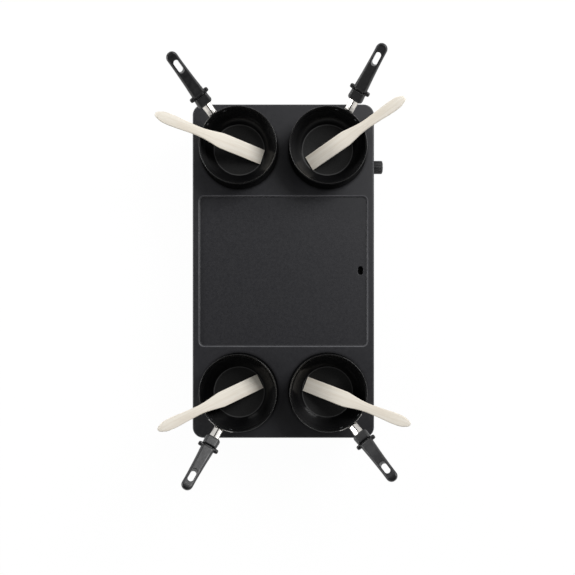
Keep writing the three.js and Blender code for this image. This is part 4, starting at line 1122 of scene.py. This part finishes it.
def make_ears():
    """A bar across the groove that ends in two ears, each with a neck."""
    half_span = EAR_SPAN / 2
    profile = smooth_line([
        (0, half_span), (EAR_RADIUS * 0.75, half_span - 0.7), (EAR_RADIUS, half_span - EAR_RADIUS),
        (EAR_NECK, half_span - 1.9 * EAR_RADIUS), (EAR_RADIUS, half_span - 3.2 * EAR_RADIUS),
        (EAR_RADIUS, 0),
    ], 5)
    mirrored = [(radius, -height) for radius, height in profile[::-1]]
    ears = turned(profile + mirrored[1:], 28, "bakelite")
    return moved(ears, shift((CUP_END + GROOVE_END) / 2, 0, 0) @ Matrix.Rotation(QUARTER, 4, "X"))


def make_grip():
    """The moulded grip: cup, groove with two ears, waisted shaft, and a slot for hanging."""
    tip_radius = GRIP_END_WIDTH / 2
    tip_centre = HANDLE_LENGTH - tip_radius
    stations = [
        (CUP_START, 20.4, 14.2), (CUP_START + 0.8, 22.2, 16), (CUP_START + 2.4, 23.2, 17),
        (CUP_END - 1.4, 21.9, 15.5), (CUP_END - 0.4, 21, 14.6),
        (CUP_END - 0.3, GROOVE_WIDTH, GROOVE_HEIGHT),
        (GROOVE_END + 0.3, GROOVE_WIDTH, GROOVE_HEIGHT), (GROOVE_END + 0.4, 19.8, 13.2),
    ]
    stations += smooth_line([
        (GROOVE_END + 1.4, 20.6, 14), ((GROOVE_END + WAIST) / 2, 19.4, 13.1), (WAIST, 18.2, 12.4),
        (SLOT_STATION, GRIP_END_WIDTH, GRIP_END_HEIGHT),
        (tip_centre, GRIP_END_WIDTH, GRIP_TIP_HEIGHT),
    ], 10)
    turns = 12
    for i in range(1, turns):
        angle = i / turns * QUARTER
        stations.append((
            tip_centre + tip_radius * sin(angle),
            GRIP_END_WIDTH * cos(angle),
            GRIP_TIP_HEIGHT * cos(angle) ** TIP_FALL,
        ))
    body = skin([grip_ring(*station) for station in stations])
    slot = slab(SLOT_LENGTH, SLOT_WIDTH, SLOT_WIDTH / 2.04, [(0, -20), (0, 20)])
    slot = moved(slot, shift(SLOT_STATION, 0, 0))
    joined = combined(combined(body, [make_ears()], "UNION"), [slot], "DIFFERENCE")
    made = object_of(joined, "work_grip")
    modify(made, "one_moulding", "REMESH", mode="VOXEL", voxel_size=0.4)
    modify(made, "soft_edges", "SMOOTH", factor=0.5, iterations=2)
    return result_of(made)


def make_rivets():
    """Two low domed heads inside the wall, and their closed ends outside the bracket."""
    radius = wall_radius(RIVET_HEIGHT, 0)
    tilt = atan(radius - wall_radius(RIVET_HEIGHT - 1, 0))
    outer_face = PAN_WALL + REST_GAP + BRACKET_THICKNESS + 0.2
    head = [(reach, -height) for reach, height in arc(0, 0.3, RIVET_HEAD, 0, 1, RIVET_RISE)[::-1]]
    rivet = turned([
        *head,
        (RIVET_HEAD, -0.1), (RIVET_RADIUS, -0.1), (RIVET_RADIUS, outer_face),
        (RIVET_HEAD * 0.8, outer_face), (RIVET_HEAD * 0.7, outer_face + 0.5),
        (RIVET_HEAD * 0.35, outer_face + 0.9), (0, outer_face + RIVET_TAIL),
    ], 32, "steel")
    outward = Matrix.Rotation(QUARTER + tilt, 4, "Y")
    placed = moved(rivet, shift(radius, 0, RIVET_HEIGHT) @ outward)
    return CIRCLING.run(placed, "steel", Count=2, First=-RIVET_ANGLE, Step=2 * RIVET_ANGLE)


# Spatulas

def make_spatula():
    """Widths and thicknesses along the spatula, from the blade's thin end to the tip."""
    stations = smooth_line([
        (0, 22.4, 1.3), (34, 22.8, 2.8), (62, 22.8, 2.8), (68, 22.4, 2.8), (79, 18.8, 2.9),
        (91, 15, 3.4), (105, 13.2, 3.6), (125, 14.7, 3.6), (144, 16.6, 3.6), (158, 15.6, 3.6),
        (SPATULA_LENGTH - 7, 12, 3.5), (SPATULA_LENGTH - 2.6, 8.2, 3.1),
        (SPATULA_LENGTH - 0.7, 4.8, 2.2), (SPATULA_LENGTH, 1.8, 0.9),
    ], 6)
    return remember_place(skin([
        [(station, x, y + thickness / 2) for x, y in rounded_rect(width, thickness, 0.36 * thickness, 3)]
        for station, width, thickness in stations
    ]))


def spatula_matrix(place):
    """Stands a spatula on the pan's floor and leans it on the rim."""
    facts = PLACES[place]
    setback = FLOOR_RADIUS * facts["setback"]
    across = FLOOR_RADIUS * facts["across"]
    low_end = FLOOR_THICKNESS + REST_GAP
    rim_reach = sqrt(RIM_RADIUS ** 2 - (abs(across) + SHOULDER_WIDTH / 2) ** 2)
    lean = atan2(PAN_HEIGHT + REST_GAP - low_end, setback + rim_reach - LIP_WIDTH)
    at_foot = at_pan_turned(place, facts["lean"]) @ shift(-setback, -across, low_end)
    return at_foot @ Matrix.Rotation(-lean, 4, "Y")


# Control knob, dial and pilot lens

knob_low, knob_high = box_mm("control_knob")
KNOB_LENGTH = knob_high.x - knob_low.x
AXIS = Vector((knob_low.x, (knob_low.y + knob_high.y) / 2, (knob_low.z + knob_high.z) / 2))
ALONG_X = Matrix.Rotation(QUARTER, 4, "Y")


def make_knob():
    core = turned([
        (0, 0.1), (KNOB_COLLAR - 0.6, 0.1), (KNOB_COLLAR, 0.6), (KNOB_COLLAR, 2.2),
        (KNOB_COLLAR - 0.5, 3), (KNOB_RADIUS - 1.1, 3.4), (KNOB_RADIUS - 1.2, KNOB_LENGTH - 1.8),
        (KNOB_RADIUS - 1.6, KNOB_LENGTH - 0.7), (KNOB_RADIUS - 2.6, KNOB_LENGTH - 0.1),
        (KNOB_RADIUS - 3.4, KNOB_LENGTH - 0.4), (0, KNOB_LENGTH - 0.9),
    ], 96, "black_plastic")
    rib = skin([
        [(KNOB_RADIUS - 0.85 + x, y, height) for x, y in rounded_rect(width, width, width * 0.45, 4)]
        for width, height in ((0.6, 3), (1.7, 4.2), (1.7, KNOB_LENGTH - 2), (0.6, KNOB_LENGTH - 0.8))
    ])
    step = TURN / KNOB_RIBS
    ribs = CIRCLING.run(rib, "black_plastic", Count=KNOB_RIBS, First=step / 2, Step=step)
    return combined(core, [ribs], "UNION")


def make_pointer():
    """A pale line from the knob's face down its side."""
    return bar(POINTER_SIZE, 0.5, 4, (KNOB_LENGTH - 1.2, KNOB_LENGTH - 0.15), x_middle=5 - KNOB_RADIUS)


def flat_on_side(x):
    """Turns a drawing on the XY plane so that it reads from the right side of the grill."""
    turn = Matrix(((0, 0, 1, 0), (1, 0, 0, 0), (0, 1, 0, 0), (0, 0, 0, 1)))
    return shift(x, AXIS.y, AXIS.z) @ turn


def make_dial(side_x):
    """Marks round the knob, with plain numbers."""
    mark = bar(MARK_SIZE, 0.2, 3, (-DIAL_DEPTH / 2, DIAL_DEPTH), y_middle=MARK_REACH)
    step = -DIAL_SWEEP / (DIAL_MARKS - 1)
    drawn = [CIRCLING.run(mark, "dial", Count=DIAL_MARKS, First=0, Step=step)]
    for number in range(DIAL_NUMBERS):
        angle = -number / (DIAL_NUMBERS - 1) * DIAL_SWEEP
        curve = bpy.data.curves.new("numeral", "FONT")
        curve.body = str(number)
        curve.size = NUMBER_SIZE
        curve.align_x = "CENTER"
        curve.align_y = "CENTER"
        curve.extrude = DIAL_DEPTH / 2
        numeral = result_of(object_of(curve, "work_numeral"))
        place = shift(-NUMBER_REACH * sin(angle), NUMBER_REACH * cos(angle), DIAL_DEPTH / 2)
        drawn.append(moved(numeral, place))
    work = bmesh.new()
    for part in drawn:
        work.from_mesh(part)
    dial = bpy.data.meshes.new("dial")
    work.to_mesh(dial)
    work.free()
    return moved(dial, flat_on_side(side_x))


def make_lens():
    stem = [(0, -5.9), (3.3, -5.9), (3.5, -5.6), (3.5, 0.3), (4.4, 0.3), (LENS_RADIUS, 0.5)]
    return turned([*stem, *arc(0, LENS_BASE, LENS_RADIUS, 0, 1, LENS_RISE)], 48, "lens")


# Feet

def make_foot():
    """A cup with a bead at its sole and a bore for the clamp screw."""
    return turned([
        (4.8, 0), (9.6, 0), (10.4, 0.2), (11, 1), (11.6, 4), (12.6, 12), (13, 13.2), (13, 14),
        (2.4, 14), (2.4, 5), (4.8, 5), (4.8, 0),
    ], 48, "rubber")


# Every piece in its place

even_flats(piece("cast_plate", make_plate(), "base", "coated_plate", "grill_plate"))

PAN_MESHES = {
    "bowl": remember_place(make_pan()),
    "hugging_bracket": remember_place(make_bracket()),
    "sleeve": remember_place(make_ferrule()),
    "moulded_grip": make_grip(),
    "rivet_heads": remember_place(make_rivets()),
}
spatula_mesh = make_spatula()

for place in PLACES:
    body, spatula = f"pan_{place}", f"spatula_{place}"
    at_pan = at_pan_turned(place, PLACES[place]["handle"])
    at_handle = at_pan @ HANDLE_MATRIX
    rivets = [f"{body}_rivet_{side}" for side in ("right", "left")]
    for name, slot, replaced, matrix, looks in (
        ("bowl", "coated_pan", [body], at_pan, {}),
        ("hugging_bracket", "steel", [f"{body}_bracket"], at_pan, {}),
        ("sleeve", "steel", [f"{body}_ferrule"], at_handle, {"finish": "seamed_steel"}),
        ("moulded_grip", "bakelite", [f"{body}_grip"], at_handle, {"sharp": 180}),
        ("rivet_heads", "steel", rivets, at_pan, {"finish": "dark_rivet"}),
    ):
        piece(f"{name}_{place}", PAN_MESHES[name], body, slot, *replaced, matrix=matrix, **looks)
    piece(f"birch_{spatula}", spatula_mesh, spatula, "wood", spatula, matrix=spatula_matrix(place))

at_axis = TO_METRES @ Matrix.Translation(AXIS) @ ALONG_X
piece("ribbed_knob", make_knob(), "knob", "black_plastic", "control_knob", matrix=at_axis)
piece("knob_pointer", make_pointer(), "knob", "black_plastic", matrix=at_axis, finish="dial")
side_x = box_mm("base_housing")[1].x
piece("dial_marks", make_dial(side_x), "base", "black_plastic", finish="dial")
lens_low, lens_high = box_mm("pilot_lens")
lens_middle = (lens_low + lens_high) / 2
at_lens = TO_METRES @ shift(side_x, lens_middle.y, lens_middle.z) @ ALONG_X
piece("pilot_dome", make_lens(), "base", "lens", "pilot_lens", matrix=at_lens)
feet = CORNERS.run(make_foot(), "rubber", **corner_spans())
piece("rubber_feet", feet, "base", "rubber", *(f"foot_{corner}" for corner in PLACES))

softened("shell", "base_housing", "base", "black_plastic", 0.5)
softened("vented_cover", "bottom_cover", "base", "black_plastic", 0.35)
softened("inlet_body", "appliance_inlet", "base", "bakelite", 0.3)
softened("drip_tray", "grease_tray", "grease_tray", "sheet_steel", 0.35)

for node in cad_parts.values():
    if node.hide_render:
        continue
    for slot in node.material_slots:
        known = slot.material.name.split(".")[0]
        if known in FINISHES:
            slot.material = FINISHES["plain_steel" if known == "steel" else known]


# Floor

floor_material = bpy.data.materials.new("pale_floor")
floor_material.use_nodes = True
# The floor glows only for rays that look at it, so it is no lamp to aim at
floor_material.cycles.emission_sampling = "NONE"
ground = Nodes(floor_material.node_tree)
matt = ground.tree.nodes["Principled BSDF"]
matt.inputs["Base Color"].default_value = (FLOOR_TONE, FLOOR_TONE, FLOOR_TONE, 1)
matt.inputs["Roughness"].default_value = 0.9
glow = ground.add("ShaderNodeEmission", Strength=FLOOR_GLOW)
glowing = ground.maths("MULTIPLY", ground.looked_at(), FLOOR_GLOW_SHARE)
both = ground.add("ShaderNodeMixShader")
for source, socket in zip((glowing, matt.outputs[0], glow.outputs[0]), both.inputs):
    ground.put(source, socket)
ground.put(both.outputs[0], ground.tree.nodes["Material Output"].inputs["Surface"])

half_floor = FLOOR_SPAN / 2
corners = [(x * half_floor, y * half_floor, -FLOOR_GAP) for x, y in ((-1, -1), (1, -1), (1, 1), (-1, 1))]
floor_mesh = mesh_from(corners, [(0, 1, 2, 3)])
floor_mesh.materials.append(floor_material)
object_of(floor_mesh, "floor")
